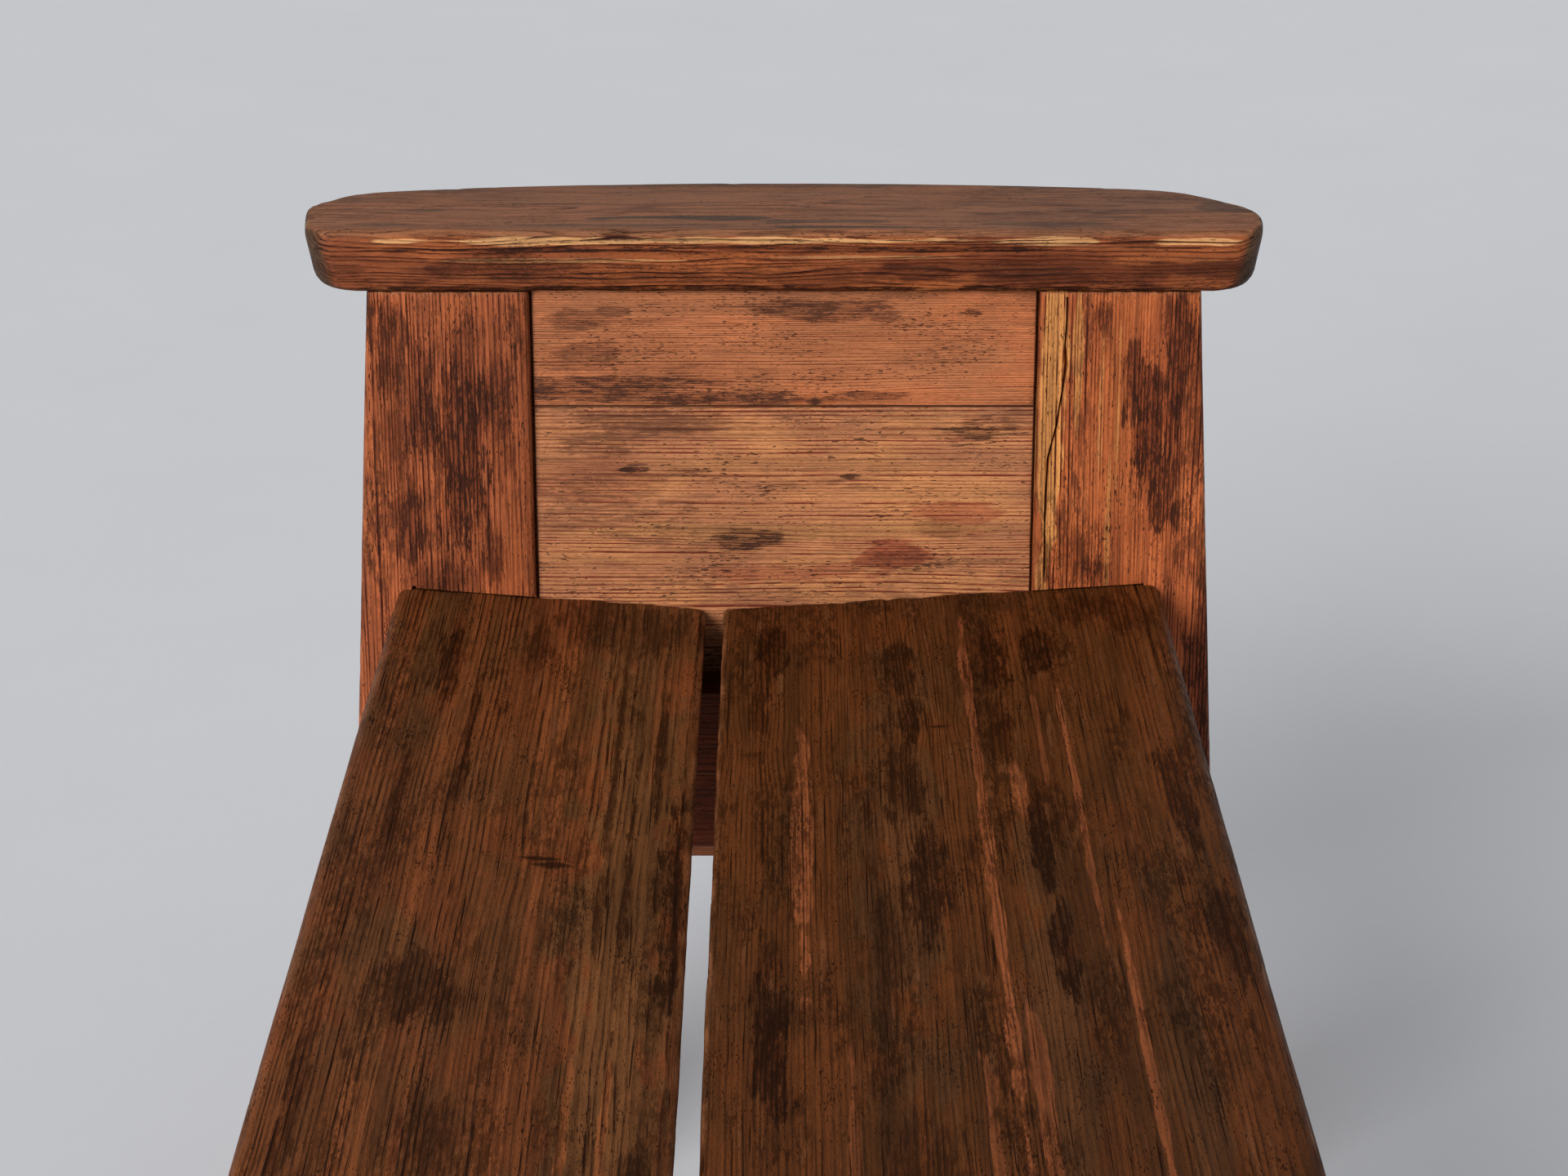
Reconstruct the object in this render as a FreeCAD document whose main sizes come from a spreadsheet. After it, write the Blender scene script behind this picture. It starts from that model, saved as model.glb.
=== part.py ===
import FreeCAD, Part
import os
import re
import Sketcher

# Bench with two panelled ends, flat arms and a seat of two boards that slope to a gap
# X runs along the bench, Y from front to rear and Z up, and the origin is on the floor under the middle

os.makedirs("parts", exist_ok=True)
doc = FreeCAD.newDocument("Bench")

# Driving sizes in millimetres and degrees

SIZES = {
    "clear_length": (1276, "between the inner faces of the posts at the two ends"),
    "post_thickness": (45, "along the bench"),
    "post_inner_half": (148.5, "middle of the bench to a post's upright inner edge"),
    "post_top_half": (242.5, "middle of the bench to a post's outer edge under the arm"),
    "post_foot_half": (278, "middle of the bench to a post's outer edge at the floor"),
    "post_edge_round": (3, "rounding of a post's long edges"),
    "foot_chamfer": (2, "bevel round a post's foot"),
    "arm_underside": (616, "floor to the arm's lower face, also the height of the posts"),
    "arm_thickness": (36, "height of the arm board"),
    "arm_depth": (112, "arm's straight inner edge to the crown of its bowed outer edge"),
    "arm_length": (557, "front end to rear end of the arm"),
    "arm_end_depth": (89.8, "depth of the arm where the bow meets its ends"),
    "arm_overhang": (1, "arm's inner edge in front of the posts' inner face"),
    "arm_end_tuck": (7, "how far the arm's ends lean in towards its lower face"),
    "arm_corner_round": (44, "plan rounding of the arm's outer corners"),
    "arm_inner_corner_round": (13, "plan rounding of the arm's inner corners"),
    "arm_top_round": (7, "rounding of the arm's upper edges"),
    "arm_bottom_round": (5, "rounding of the arm's lower edges"),
    "panel_recess": (6, "panel face behind the posts' inner face"),
    "panel_thickness": (22, "thickness of the panel boards"),
    "panel_below_bearer": (24.5, "panel's lower edge under the bearer's"),
    "upper_board_width": (71, "upper panel board, from the arm to the joint below it"),
    "middle_board_width": (184, "middle panel board, from joint to joint"),
    "panel_side_gap": (1.2, "open line between panel boards and posts"),
    "panel_edge_ease": (0.8, "small bevel along a panel board's long edges, seen as the line at a joint"),
    "tongue_thickness": (10, "thickness of the panel boards' tongues"),
    "tongue_length": (12, "how far a panel board's end enters the post"),
    "tongue_height": (9, "how far a panel board's tongue enters the groove above"),
    "tongue_side_clearance": (0.3, "room on each side of a tongue"),
    "tongue_end_clearance": (1, "room in front of a tongue"),
    "seat_thickness": (38, "thickness of the seat boards"),
    "front_seat_inset": (24.5, "post's outer edge at seat height to the front board's outer edge"),
    "rear_seat_inset": (31.9, "post's outer edge at seat height to the rear board's outer edge"),
    "front_slope": (4.6, "front seat board, degrees down to the gap"),
    "rear_slope": (3.9, "rear seat board, degrees down to the gap"),
    "seat_gap": (10, "open gap between the seat boards"),
    "seat_gap_offset": (40, "middle of the gap in front of the middle of the bench"),
    "seat_gap_height": (418, "floor to the seat boards' top at the gap"),
    "seat_outer_round": (9, "rounding of a seat board's outer top edge"),
    "seat_gap_round": (4.5, "rounding of a seat board's top edge at the gap"),
    "seat_lower_round": (3, "rounding of a seat board's lower edges"),
    "housing_top_clearance": (1.2, "room over a seat board in the post's notch"),
    "housing_edge_clearance": (1, "room beside a seat board's end in the post's notch"),
    "seat_shoulder": (8, "outer strip of a seat board's end that stops at the post's face"),
    "board_end_clearance": (0.3, "room between a seat board's end and the panel"),
    "bearer_thickness": (36, "along the bench"),
    "bearer_end_inset": (49, "post's outer edge at seat height to the bearer's end"),
    "bearer_height": (100.5, "height of the bearer at the gap"),
    "bearer_corner_cut": (18, "slanted corner at a bearer's lower ends"),
    "bearer_edge_round": (2.5, "rounding of the bearer's lower edges"),
    "batten_width": (46, "along the bench"),
    "batten_end_inset": (54, "post's outer edge at seat height to the batten's end"),
    "batten_height": (40, "height of the batten at the gap"),
    "batten_corner_cut": (14, "slanted corner at the batten's lower ends"),
    "rail_thickness": (32, "front face to rear face of the rail"),
    "rail_height": (60, "height of the rail"),
    "rail_lap": (8, "how deep the batten is notched over the rail"),
    "rail_edge_round": (2.5, "rounding of the rail's long edges"),
    "rail_tenon_length": (18, "how far the rail's tenon enters the bearer"),
    "rail_tenon_thickness": (18, "thickness of the rail's tenon"),
    "rail_tenon_shoulder": (8, "rail's shoulder over and under its tenon"),
    "joint_clearance": (0.2, "room round a tenon or a lap"),
    "dowel_diameter": (12, "all dowels"),
    "dowel_clearance": (0.1, "room round a dowel"),
    "dowel_end_clearance": (1, "room at each end of a dowel's hole"),
    "arm_dowel_in_post": (36, "arm dowel's length in the post"),
    "arm_dowel_in_arm": (22, "arm dowel's length in the arm"),
    "arm_dowel_spacing": (46, "between the two dowels of one post"),
    "seat_dowel_in_bearer": (20, "seat dowel's length in the bearer"),
    "seat_dowel_in_board": (18, "seat dowel's length in the board"),
    "seat_dowel_inset": (45, "seat board's edge to its dowel"),
    "screw_diameter": (5, "shank of the wood screws"),
    "screw_head_diameter": (10, "countersunk head of the wood screws"),
    "screw_head_height": (4, "countersunk head's depth"),
    "screw_tip_length": (8, "pointed end of the wood screws"),
    "screw_slot_width": (1.4, "slot in the head"),
    "screw_slot_depth": (1.5, "slot in the head"),
    "screw_clearance": (0.1, "room round a screw"),
    "bearer_screw_grip": (29, "bearer's screws, length in the post"),
    "bearer_screw_inset": (30, "bearer's lower edge to its lower screws"),
    "bearer_screw_spacing": (42, "between the bearer's lower and upper screws"),
    "batten_screw_grip": (22, "batten's screws, length beyond the batten's height"),
    "batten_screw_inset": (65, "seat board's edge to its screw in the batten"),
}

sheet = doc.addObject("Spreadsheet::Sheet", "Sizes")
for line, (name, (size, note)) in enumerate(SIZES.items(), start=1):
    sheet.set("A%d" % line, name)
    sheet.set("B%d" % line, str(size))
    sheet.setAlias("B%d" % line, name)
    sheet.set("C%d" % line, note)
doc.recompute()


def linked(text):
    # a formula over the sheet's names, as the document's expressions want it
    return re.sub(r"[a-z_]+", lambda word: "Sizes." + word[0] if word[0] in SIZES else word[0], text)


def bind(target, prop, text):
    target.setExpression(prop, linked(text))


def value(text):
    return float(sheet.evalExpression(linked(text)))


# Sketches, pads, cuts and rounded edges

checked_cuts = []


def new_body(label):
    body = doc.addObject("PartDesign::Body", label)
    body.Label = label
    return body


def place_sketch(body, name, plane, offset):
    # offset is the sketch's origin, along the plane's own two axes and its normal
    sketch = body.newObject("Sketcher::SketchObject", name)
    support = [item for item in body.Origin.OriginFeatures if item.Role == plane][0]
    sketch.AttachmentSupport = [(support, "")]
    sketch.MapMode = "FlatFace"
    for axis, text in zip("xyz", offset):
        bind(sketch, "AttachmentOffset.Base." + axis, text)
    return sketch


def fix_point(sketch, geometry, end, point):
    for kind, text in zip(("DistanceX", "DistanceY"), point):
        number = sketch.addConstraint(Sketcher.Constraint(kind, -1, 1, geometry, end, value(text)))
        bind(sketch, "Constraints[%d]" % number, text)


def draw_outline(sketch, points, open_end=False):
    # straight lines from point to point, each corner held at its own distances
    corners = [FreeCAD.Vector(value(across), value(up), 0) for across, up in points]
    count = len(corners)
    drawn = []
    for start in range(count - 1 if open_end else count):
        line = Part.LineSegment(corners[start], corners[(start + 1) % count])
        drawn.append(sketch.addGeometry(line))
        fix_point(sketch, drawn[-1], 1, points[start])
    for before, after in zip(drawn, drawn[1:]):
        sketch.addConstraint(Sketcher.Constraint("Coincident", before, 2, after, 1))
    if open_end:
        fix_point(sketch, drawn[-1], 2, points[-1])
    else:
        sketch.addConstraint(Sketcher.Constraint("Coincident", drawn[-1], 2, drawn[0], 1))
    return drawn


def pad(body, name, plane, offset, points, length):
    sketch = place_sketch(body, name + "_sketch", plane, offset)
    draw_outline(sketch, points)
    feature = body.newObject("PartDesign::Pad", name)
    feature.Profile = sketch
    bind(feature, "Length", length)
    return feature


def cut_sketch(body, name, sketch, length, along_normal=True):
    base = body.Tip
    feature = body.newObject("PartDesign::Pocket", name)
    feature.Profile = sketch
    feature.Reversed = along_normal
    bind(feature, "Length", length)
    checked_cuts.append((base, feature))
    return feature


def cut(body, name, plane, offset, points, length):
    sketch = place_sketch(body, name + "_sketch", plane, offset)
    draw_outline(sketch, points)
    return cut_sketch(body, name, sketch, length)


def bore(body, name, plane, centre, diameter, length, along_normal=True):
    # a round hole that starts at its blind end
    sketch = place_sketch(body, name + "_sketch", plane, centre)
    circle = Part.Circle(FreeCAD.Vector(0, 0, 0), FreeCAD.Vector(0, 0, 1), value(diameter) / 2)
    number = sketch.addGeometry(circle)
    sketch.addConstraint(Sketcher.Constraint("Coincident", number, 3, -1, 1))
    bound = sketch.addConstraint(Sketcher.Constraint("Diameter", number, value(diameter)))
    bind(sketch, "Constraints[%d]" % bound, diameter)
    return cut_sketch(body, name, sketch, length, along_normal)


def round_edges(body, name, size, wanted, kind="Fillet"):
    doc.recompute()
    base = body.Tip
    names = ["Edge%d" % (number + 1) for number, edge in enumerate(base.Shape.Edges) if wanted(edge)]
    feature = body.newObject("PartDesign::" + kind, name)
    feature.Base = (base, names)
    bind(feature, "Radius" if kind == "Fillet" else "Size", size)
    checked_cuts.append((base, feature))
    return feature


def middle(edge):
    return edge.valueAt((edge.FirstParameter + edge.LastParameter) / 2)


def reach(edge):
    # how far the edge runs along X, Y and Z
    box = edge.BoundBox
    return FreeCAD.Vector(box.XLength, box.YLength, box.ZLength)


NEAR = 0.01  # two places closer than this are the same when edges are picked


# Places that several pieces share

INNER_FACE = "clear_length / 2"
POST_HEIGHT = "arm_underside"
TONGUE_FROM = "(panel_recess + (panel_thickness - tongue_thickness) / 2)"
GROOVE_FROM = "(" + TONGUE_FROM + " - tongue_side_clearance)"
GROOVE_WIDTH = "(tongue_thickness + 2 * tongue_side_clearance)"
DOWEL_BORE = "(dowel_diameter + 2 * dowel_clearance)"
SEAT_UNDERSIDE = "(seat_gap_height - seat_thickness)"
BEARER_BOTTOM = "(" + SEAT_UNDERSIDE + " - bearer_height)"
BATTEN_BOTTOM = "(" + SEAT_UNDERSIDE + " - batten_height)"
PANEL_BOTTOM = "(" + BEARER_BOTTOM + " - panel_below_bearer)"
UPPER_JOINT = "(arm_underside - upper_board_width)"
LOWER_JOINT = "(" + UPPER_JOINT + " - middle_board_width)"
RAIL_TOP = "(" + BATTEN_BOTTOM + " + rail_lap)"
BEARER_SCREW = "(bearer_thickness + bearer_screw_grip)"
BATTEN_SCREW = "(batten_height + batten_screw_grip)"
POST_FLARE = "(post_foot_half - post_top_half) / arm_underside"
POST_AT_SEAT = "(post_top_half + " + POST_FLARE + " * (arm_underside - seat_gap_height))"
BEARER_HALF = "(" + POST_AT_SEAT + " - bearer_end_inset)"
BATTEN_HALF = "(" + POST_AT_SEAT + " - batten_end_inset)"
GROOVE_END = "(post_inner_half + tongue_length + tongue_end_clearance)"


def outward(side, offset):
    # X of a plane at a distance outward from the posts' inner face, side is -1 or 1
    return "%d * (%s + (%s))" % (side, INNER_FACE, offset)


def slab_from(side, near, far):
    # lower X of a slab between two distances outward from the posts' inner face
    return outward(side, far if side < 0 else near)


class SeatBoard:
    # one seat board's section: distances run from its top edge at the gap outward and up, square to the slope
    def __init__(self, side, gap_edge, slope, inset):
        self.side = side
        self.gap_edge = gap_edge
        self.slope = slope
        self.width = "((%s - %s - %d * %s) / cos(%s))" % (POST_AT_SEAT, inset, side, gap_edge, slope)

    def point(self, out, up):
        rise = {"slope": self.slope, "out": out, "up": up, "side": self.side, "edge": self.gap_edge}
        across = "%(edge)s + %(side)d * ((%(out)s) * cos(%(slope)s) - (%(up)s) * sin(%(slope)s))" % rise
        height = "seat_gap_height + (%(out)s) * sin(%(slope)s) + (%(up)s) * cos(%(slope)s)" % rise
        return across, height

    def height_over(self, across, up):
        # height of the plane at a distance square above the top face, over a place across the bench
        rise = {"slope": self.slope, "up": up, "side": self.side, "edge": self.gap_edge, "across": across}
        return "(seat_gap_height + (%(up)s) / cos(%(slope)s) + %(side)d * ((%(across)s) - (%(edge)s))" \
            " * tan(%(slope)s))" % rise

    def underside(self, across):
        return self.height_over(across, "-seat_thickness")

    def inset(self, distance):
        # places across the bench at a distance from each of the board's two edges
        near = "(%s + %d * (%s))" % (self.gap_edge, self.side, distance)
        far = "(%s + %d * (%s * cos(%s) - %s))" % (self.gap_edge, self.side, self.width, self.slope, distance)
        return near, far


SEAT = {
    "front": SeatBoard(-1, "(-seat_gap_offset - seat_gap / 2)", "front_slope", "front_seat_inset"),
    "rear": SeatBoard(1, "(-seat_gap_offset + seat_gap / 2)", "rear_slope", "rear_seat_inset"),
}
ENDS = {"left": -1, "right": 1}
ROWS = {"front": -1, "rear": 1}


def cradle_outline(half, bottom, corner_cut):
    # outline of a cross board whose top carries both seat boards
    front, rear = SEAT["front"], SEAT["rear"]
    return [
        ("-" + half, "%s + %s" % (bottom, corner_cut)),
        ("-" + half, front.underside("-" + half)),
        front.point("0", "-seat_thickness"),
        rear.point("0", "-seat_thickness"),
        (half, rear.underside(half)),
        (half, "%s + %s" % (bottom, corner_cut)),
        ("%s - %s" % (half, corner_cut), bottom),
        ("-%s + %s" % (half, corner_cut), bottom),
    ]


# Posts: flared outer edge, groove for the panel boards, notch for the seat board, dowel and screw holes

def arm_dowel_places():
    # X outward and Y of the dowels between the posts and one arm
    centre = "((post_inner_half + post_top_half) / 2 %s arm_dowel_spacing / 2)"
    return [("post_thickness / 2", "%d * %s" % (hand, centre % sign)) for hand in (-1, 1) for sign in "-+"]


def bearer_screw_places(hands):
    # Y and Z of the screws between a bearer and the posts, halfway from the post's groove to the bearer's end
    low = BEARER_BOTTOM + " + bearer_screw_inset"
    return [("%d * (%s + %s) / 2" % (hand, GROOVE_END, BEARER_HALF), height)
            for hand in hands for height in (low, low + " + bearer_screw_spacing")]


def make_post(end, row):
    side, hand = ENDS[end], ROWS[row]
    body = new_body("%s_%s_post" % (end, row))
    edge = "%d * post_inner_half" % hand
    outline = [
        (edge, "0"),
        ("%d * post_foot_half" % hand, "0"),
        ("%d * post_top_half" % hand, POST_HEIGHT),
        (edge, POST_HEIGHT),
    ]
    plank_side = slab_from(side, "0", "post_thickness")
    pad(body, "plank", "YZ_Plane", ("0", "0", plank_side), outline, "post_thickness")
    half_height = value(POST_HEIGHT) / 2
    round_edges(body, "long_edges", "post_edge_round", lambda picked: reach(picked).z > half_height)
    round_edges(body, "foot_edges", "foot_chamfer",
                lambda picked: picked.BoundBox.ZMax < NEAR, kind="Chamfer")

    groove_end = "%d * %s" % (hand, GROOVE_END)
    groove = [
        (edge, PANEL_BOTTOM),
        (groove_end, PANEL_BOTTOM),
        (groove_end, POST_HEIGHT),
        (edge, POST_HEIGHT),
    ]
    groove_side = slab_from(side, GROOVE_FROM, GROOVE_FROM + " + " + GROOVE_WIDTH)
    cut(body, "panel_groove", "YZ_Plane", ("0", "0", groove_side), groove, GROOVE_WIDTH)

    board = SEAT[row]
    notch_end = board.width + " - seat_shoulder + housing_edge_clearance"
    notch = [
        (edge, board.height_over(edge, "housing_top_clearance")),
        board.point(notch_end, "housing_top_clearance"),
        board.point(notch_end, "-seat_thickness"),
        (edge, board.underside(edge)),
    ]
    cut(body, "seat_notch", "YZ_Plane", ("0", "0", slab_from(side, "0", "panel_recess")), notch, "panel_recess")

    hole_bottom = "arm_underside - arm_dowel_in_post - dowel_end_clearance"
    for number, (out, across) in enumerate(arm_dowel_places()):
        if value(across) * hand > 0:
            bore(body, "dowel_hole_%d" % number, "XY_Plane", (outward(side, out), across, hole_bottom),
                 DOWEL_BORE, "arm_dowel_in_post + dowel_end_clearance")
    for number, (across, height) in enumerate(bearer_screw_places([hand])):
        depth = "bearer_screw_grip + screw_clearance"
        bore(body, "screw_hole_%d" % number, "YZ_Plane", (across, height, slab_from(side, "0", depth)),
             "screw_diameter + 2 * screw_clearance", depth)
    return body


# Panel boards: each has a tongue on its top edge and at both ends, and all but the lowest a groove below

def make_panel_board(end, level, bottom, top, grooved):
    side = ENDS[end]
    body = new_body("%s_%s_panel_board" % (end, level))
    half = "(post_inner_half - panel_side_gap)"
    face = [
        ("-" + half, bottom),
        (half, bottom),
        (half, top),
        ("-" + half, top),
    ]
    board_side = slab_from(side, "panel_recess", "panel_recess + panel_thickness")
    pad(body, "board", "YZ_Plane", ("0", "0", board_side), face, "panel_thickness")
    half_length = value("post_inner_half") / 2
    round_edges(body, "eased_edges", "panel_edge_ease",
                lambda picked: reach(picked).y > half_length, kind="Chamfer")
    half = "(post_inner_half + tongue_length)"
    core = [
        ("-" + half, bottom),
        (half, bottom),
        (half, top + " + tongue_height"),
        ("-" + half, top + " + tongue_height"),
    ]
    tongue_side = slab_from(side, TONGUE_FROM, TONGUE_FROM + " + tongue_thickness")
    pad(body, "tongues", "YZ_Plane", ("0", "0", tongue_side), core, "tongue_thickness")
    if grooved:
        groove_top = bottom + " + tongue_height + tongue_end_clearance"
        groove = [
            ("-" + half, bottom),
            (half, bottom),
            (half, groove_top),
            ("-" + half, groove_top),
        ]
        groove_side = slab_from(side, GROOVE_FROM, GROOVE_FROM + " + " + GROOVE_WIDTH)
        cut(body, "lower_groove", "YZ_Plane", ("0", "0", groove_side), groove, GROOVE_WIDTH)
    return body


# Arm: straight inner edge, bowed outer edge, ends that lean in, grooved below for the panel

def make_arm(end):
    side = ENDS[end]
    body = new_body("%s_arm" % end)
    half = "arm_length / 2"
    top = "(arm_underside + arm_thickness)"
    front_view = [
        ("-%s + arm_end_tuck" % half, "arm_underside"),
        ("%s - arm_end_tuck" % half, "arm_underside"),
        (half, top),
        ("-" + half, top),
    ]
    block_side = slab_from(side, "-arm_overhang", "arm_depth - arm_overhang")
    pad(body, "board", "YZ_Plane", ("0", "0", block_side), front_view, "arm_depth")

    # what lies outside the bow is cut away, from the bow to a margin past the board
    margin = "arm_thickness"
    bow_end = outward(side, "arm_end_depth - arm_overhang")
    past_crown = outward(side, "arm_depth - arm_overhang + " + margin)
    waste = [
        (bow_end, half),
        (bow_end, "%s + %s" % (half, margin)),
        (past_crown, "%s + %s" % (half, margin)),
        (past_crown, "-%s - %s" % (half, margin)),
        (bow_end, "-%s - %s" % (half, margin)),
        (bow_end, "-" + half),
    ]
    sketch = place_sketch(body, "bow_sketch", "XY_Plane", ("0", "0", "arm_underside - " + margin))
    lines = draw_outline(sketch, waste, open_end=True)
    rise = "(arm_depth - arm_end_depth)"
    bow_radius = "((%s)^2 + %s^2) / (2 * %s)" % (half, rise, rise)
    rear_end, front_end = (FreeCAD.Vector(value(across), value(along), 0) for across, along in (waste[0], waste[-1]))
    crown = FreeCAD.Vector(value(outward(side, "arm_depth - arm_overhang")), 0, 0)
    # an arc is drawn anticlockwise, so the right arm's starts at its front end
    arc = Part.Arc(rear_end, crown, front_end) if side < 0 else Part.Arc(front_end, crown, rear_end)
    bow = sketch.addGeometry(arc)
    rear_point, front_point = (1, 2) if side < 0 else (2, 1)
    sketch.addConstraint(Sketcher.Constraint("Coincident", bow, rear_point, lines[0], 1))
    sketch.addConstraint(Sketcher.Constraint("Coincident", bow, front_point, lines[-1], 2))
    number = sketch.addConstraint(Sketcher.Constraint("Radius", bow, value(bow_radius)))
    bind(sketch, "Constraints[%d]" % number, bow_radius)
    cut_sketch(body, "bow", sketch, "arm_thickness + 2 * " + margin)

    inner_edge = abs(value(outward(side, "-arm_overhang")))
    upright = value("arm_thickness") / 2
    centre = value("arm_end_depth") / 2
    round_edges(body, "outer_corners", "arm_corner_round",
                lambda picked: reach(picked).z > upright and abs(middle(picked).x) > inner_edge + centre)
    round_edges(body, "inner_corners", "arm_inner_corner_round",
                lambda picked: reach(picked).z > upright and abs(abs(middle(picked).x) - inner_edge) < NEAR)
    top_height = value(top)
    bottom_height = value("arm_underside")
    round_edges(body, "upper_edges", "arm_top_round",
                lambda picked: picked.BoundBox.ZMin > top_height - NEAR)
    round_edges(body, "lower_edges", "arm_bottom_round",
                lambda picked: picked.BoundBox.ZMax < bottom_height + NEAR)

    groove_top = "arm_underside + tongue_height + tongue_end_clearance"
    groove = [
        ("-" + GROOVE_END, "arm_underside"),
        (GROOVE_END, "arm_underside"),
        (GROOVE_END, groove_top),
        ("-" + GROOVE_END, groove_top),
    ]
    groove_side = slab_from(side, GROOVE_FROM, GROOVE_FROM + " + " + GROOVE_WIDTH)
    cut(body, "panel_groove", "YZ_Plane", ("0", "0", groove_side), groove, GROOVE_WIDTH)
    hole_top = "arm_underside + arm_dowel_in_arm + dowel_end_clearance"
    for number, (out, across) in enumerate(arm_dowel_places()):
        bore(body, "dowel_hole_%d" % number, "XY_Plane", (outward(side, out), across, hole_top),
             DOWEL_BORE, "arm_dowel_in_arm + dowel_end_clearance", along_normal=False)
    return body


# Seat boards: one plank each, rounded along its edges, with blind holes below

BEARER_MIDDLE = "-bearer_thickness / 2"


def seat_dowel_places(rows):
    # Y and the height of the board's underside there, for the dowels in one bearer
    return [(across, SEAT[row].underside(across))
            for row in rows for across in SEAT[row].inset("seat_dowel_inset")]


def batten_screw_places(rows):
    return [across for row in rows for across in SEAT[row].inset("batten_screw_inset")]


def make_seat_board(row):
    board = SEAT[row]
    body = new_body("%s_seat_board" % row)
    section = [
        board.point("0", "0"),
        board.point(board.width, "0"),
        board.point(board.width, "-seat_thickness"),
        board.point("0", "-seat_thickness"),
    ]
    half = "(clear_length / 2 + panel_recess - board_end_clearance)"
    pad(body, "plank", "YZ_Plane", ("0", "0", "-" + half), section, "2 * " + half)

    def edge_at(out, up):
        across, height = (value(text) for text in board.point(out, up))
        return lambda picked: (abs(middle(picked).y - across) < NEAR and abs(middle(picked).z - height) < NEAR)

    round_edges(body, "outer_edge", "seat_outer_round", edge_at(board.width, "0"))
    round_edges(body, "gap_edge", "seat_gap_round", edge_at("0", "0"))
    lower = [edge_at(board.width, "-seat_thickness"), edge_at("0", "-seat_thickness")]
    round_edges(body, "lower_edges", "seat_lower_round", lambda picked: any(found(picked) for found in lower))

    # the outer strip of each end is cut back to the post's face, from past the board's corner
    past = "seat_outer_round"
    strip = [
        board.point(board.width + " - seat_shoulder", past),
        board.point(board.width + " + " + past, past),
        board.point(board.width + " + " + past, "-seat_thickness - " + past),
        board.point(board.width + " - seat_shoulder", "-seat_thickness - " + past),
    ]
    for end, side in ENDS.items():
        cut(body, "%s_shoulder" % end, "YZ_Plane", ("0", "0", slab_from(side, "0", "panel_recess")), strip,
            "panel_recess")

    hole_depth = "seat_dowel_in_board + dowel_end_clearance"
    for end, side in ENDS.items():
        for number, (across, underside) in enumerate(seat_dowel_places([row])):
            centre = (outward(side, BEARER_MIDDLE), across, underside + " + " + hole_depth)
            bore(body, "%s_dowel_hole_%d" % (end, number), "XY_Plane", centre,
                 DOWEL_BORE, hole_depth + " + dowel_diameter", along_normal=False)
    for number, across in enumerate(batten_screw_places([row])):
        hole_top = BATTEN_BOTTOM + " + " + BATTEN_SCREW + " + screw_clearance"
        bore(body, "screw_hole_%d" % number, "XY_Plane", ("0", across, hole_top),
             "screw_diameter + 2 * screw_clearance", BATTEN_SCREW, along_normal=False)
    return body


# Bearer at each end, batten in the middle, and the rail that joins the bearers under the batten

def countersink(body, name, plane, centre, outward_sign, axis):
    # the cone under a screw's head, turned about the screw's own axis
    base = body.Tip
    sketch = place_sketch(body, name + "_sketch", plane, centre)
    wide = "(screw_head_diameter / 2 + screw_clearance)"
    depth = "%d * (screw_head_height + screw_clearance)" % outward_sign
    profile = [("0", "0"), (depth, "0"), ("0", wide)]
    if axis == "V_Axis":
        profile = [(up, across) for across, up in profile]
    draw_outline(sketch, profile)
    feature = body.newObject("PartDesign::Groove", name)
    feature.Profile = sketch
    feature.ReferenceAxis = (sketch, [axis])
    feature.Angle = 360
    checked_cuts.append((base, feature))
    return feature


def make_bearer(end):
    side = ENDS[end]
    body = new_body("%s_bearer" % end)
    outline = cradle_outline(BEARER_HALF, BEARER_BOTTOM, "bearer_corner_cut")
    pad(body, "board", "YZ_Plane", ("0", "0", slab_from(side, "-bearer_thickness", "0")), outline,
        "bearer_thickness")
    bottom = value(BEARER_BOTTOM)
    corner = value("bearer_corner_cut")
    inner = abs(value(outward(side, "-bearer_thickness")))
    round_edges(body, "lower_edges", "bearer_edge_round",
                lambda picked: abs(abs(middle(picked).x) - inner) < NEAR
                and middle(picked).z < bottom + corner - NEAR and reach(picked).x < NEAR)

    tenon = "(rail_tenon_length + tongue_end_clearance)"
    half = "(rail_tenon_thickness / 2 + joint_clearance)"
    low = RAIL_TOP + " - rail_height + rail_tenon_shoulder - joint_clearance"
    high = RAIL_TOP + " - rail_tenon_shoulder + joint_clearance"
    mortise = [
        ("-" + half, low),
        (half, low),
        (half, high),
        ("-" + half, high),
    ]
    mortise_side = slab_from(side, "-bearer_thickness", "-bearer_thickness + " + tenon)
    cut(body, "rail_mortise", "YZ_Plane", ("0", "0", mortise_side), mortise, tenon)

    hole_depth = "seat_dowel_in_bearer + dowel_end_clearance"
    for number, (across, underside) in enumerate(seat_dowel_places(ROWS)):
        centre = (outward(side, BEARER_MIDDLE), across, "%s - (%s)" % (underside, hole_depth))
        bore(body, "dowel_hole_%d" % number, "XY_Plane", centre, DOWEL_BORE, hole_depth + " + dowel_diameter")
    for number, (across, height) in enumerate(bearer_screw_places(ROWS.values())):
        bore(body, "screw_hole_%d" % number, "YZ_Plane",
             (across, height, slab_from(side, "-bearer_thickness", "0")),
             "screw_diameter + 2 * screw_clearance", "bearer_thickness")
        countersink(body, "screw_sink_%d" % number, "XY_Plane",
                    (outward(side, "-bearer_thickness"), across, height), side, "H_Axis")
    return body


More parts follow.
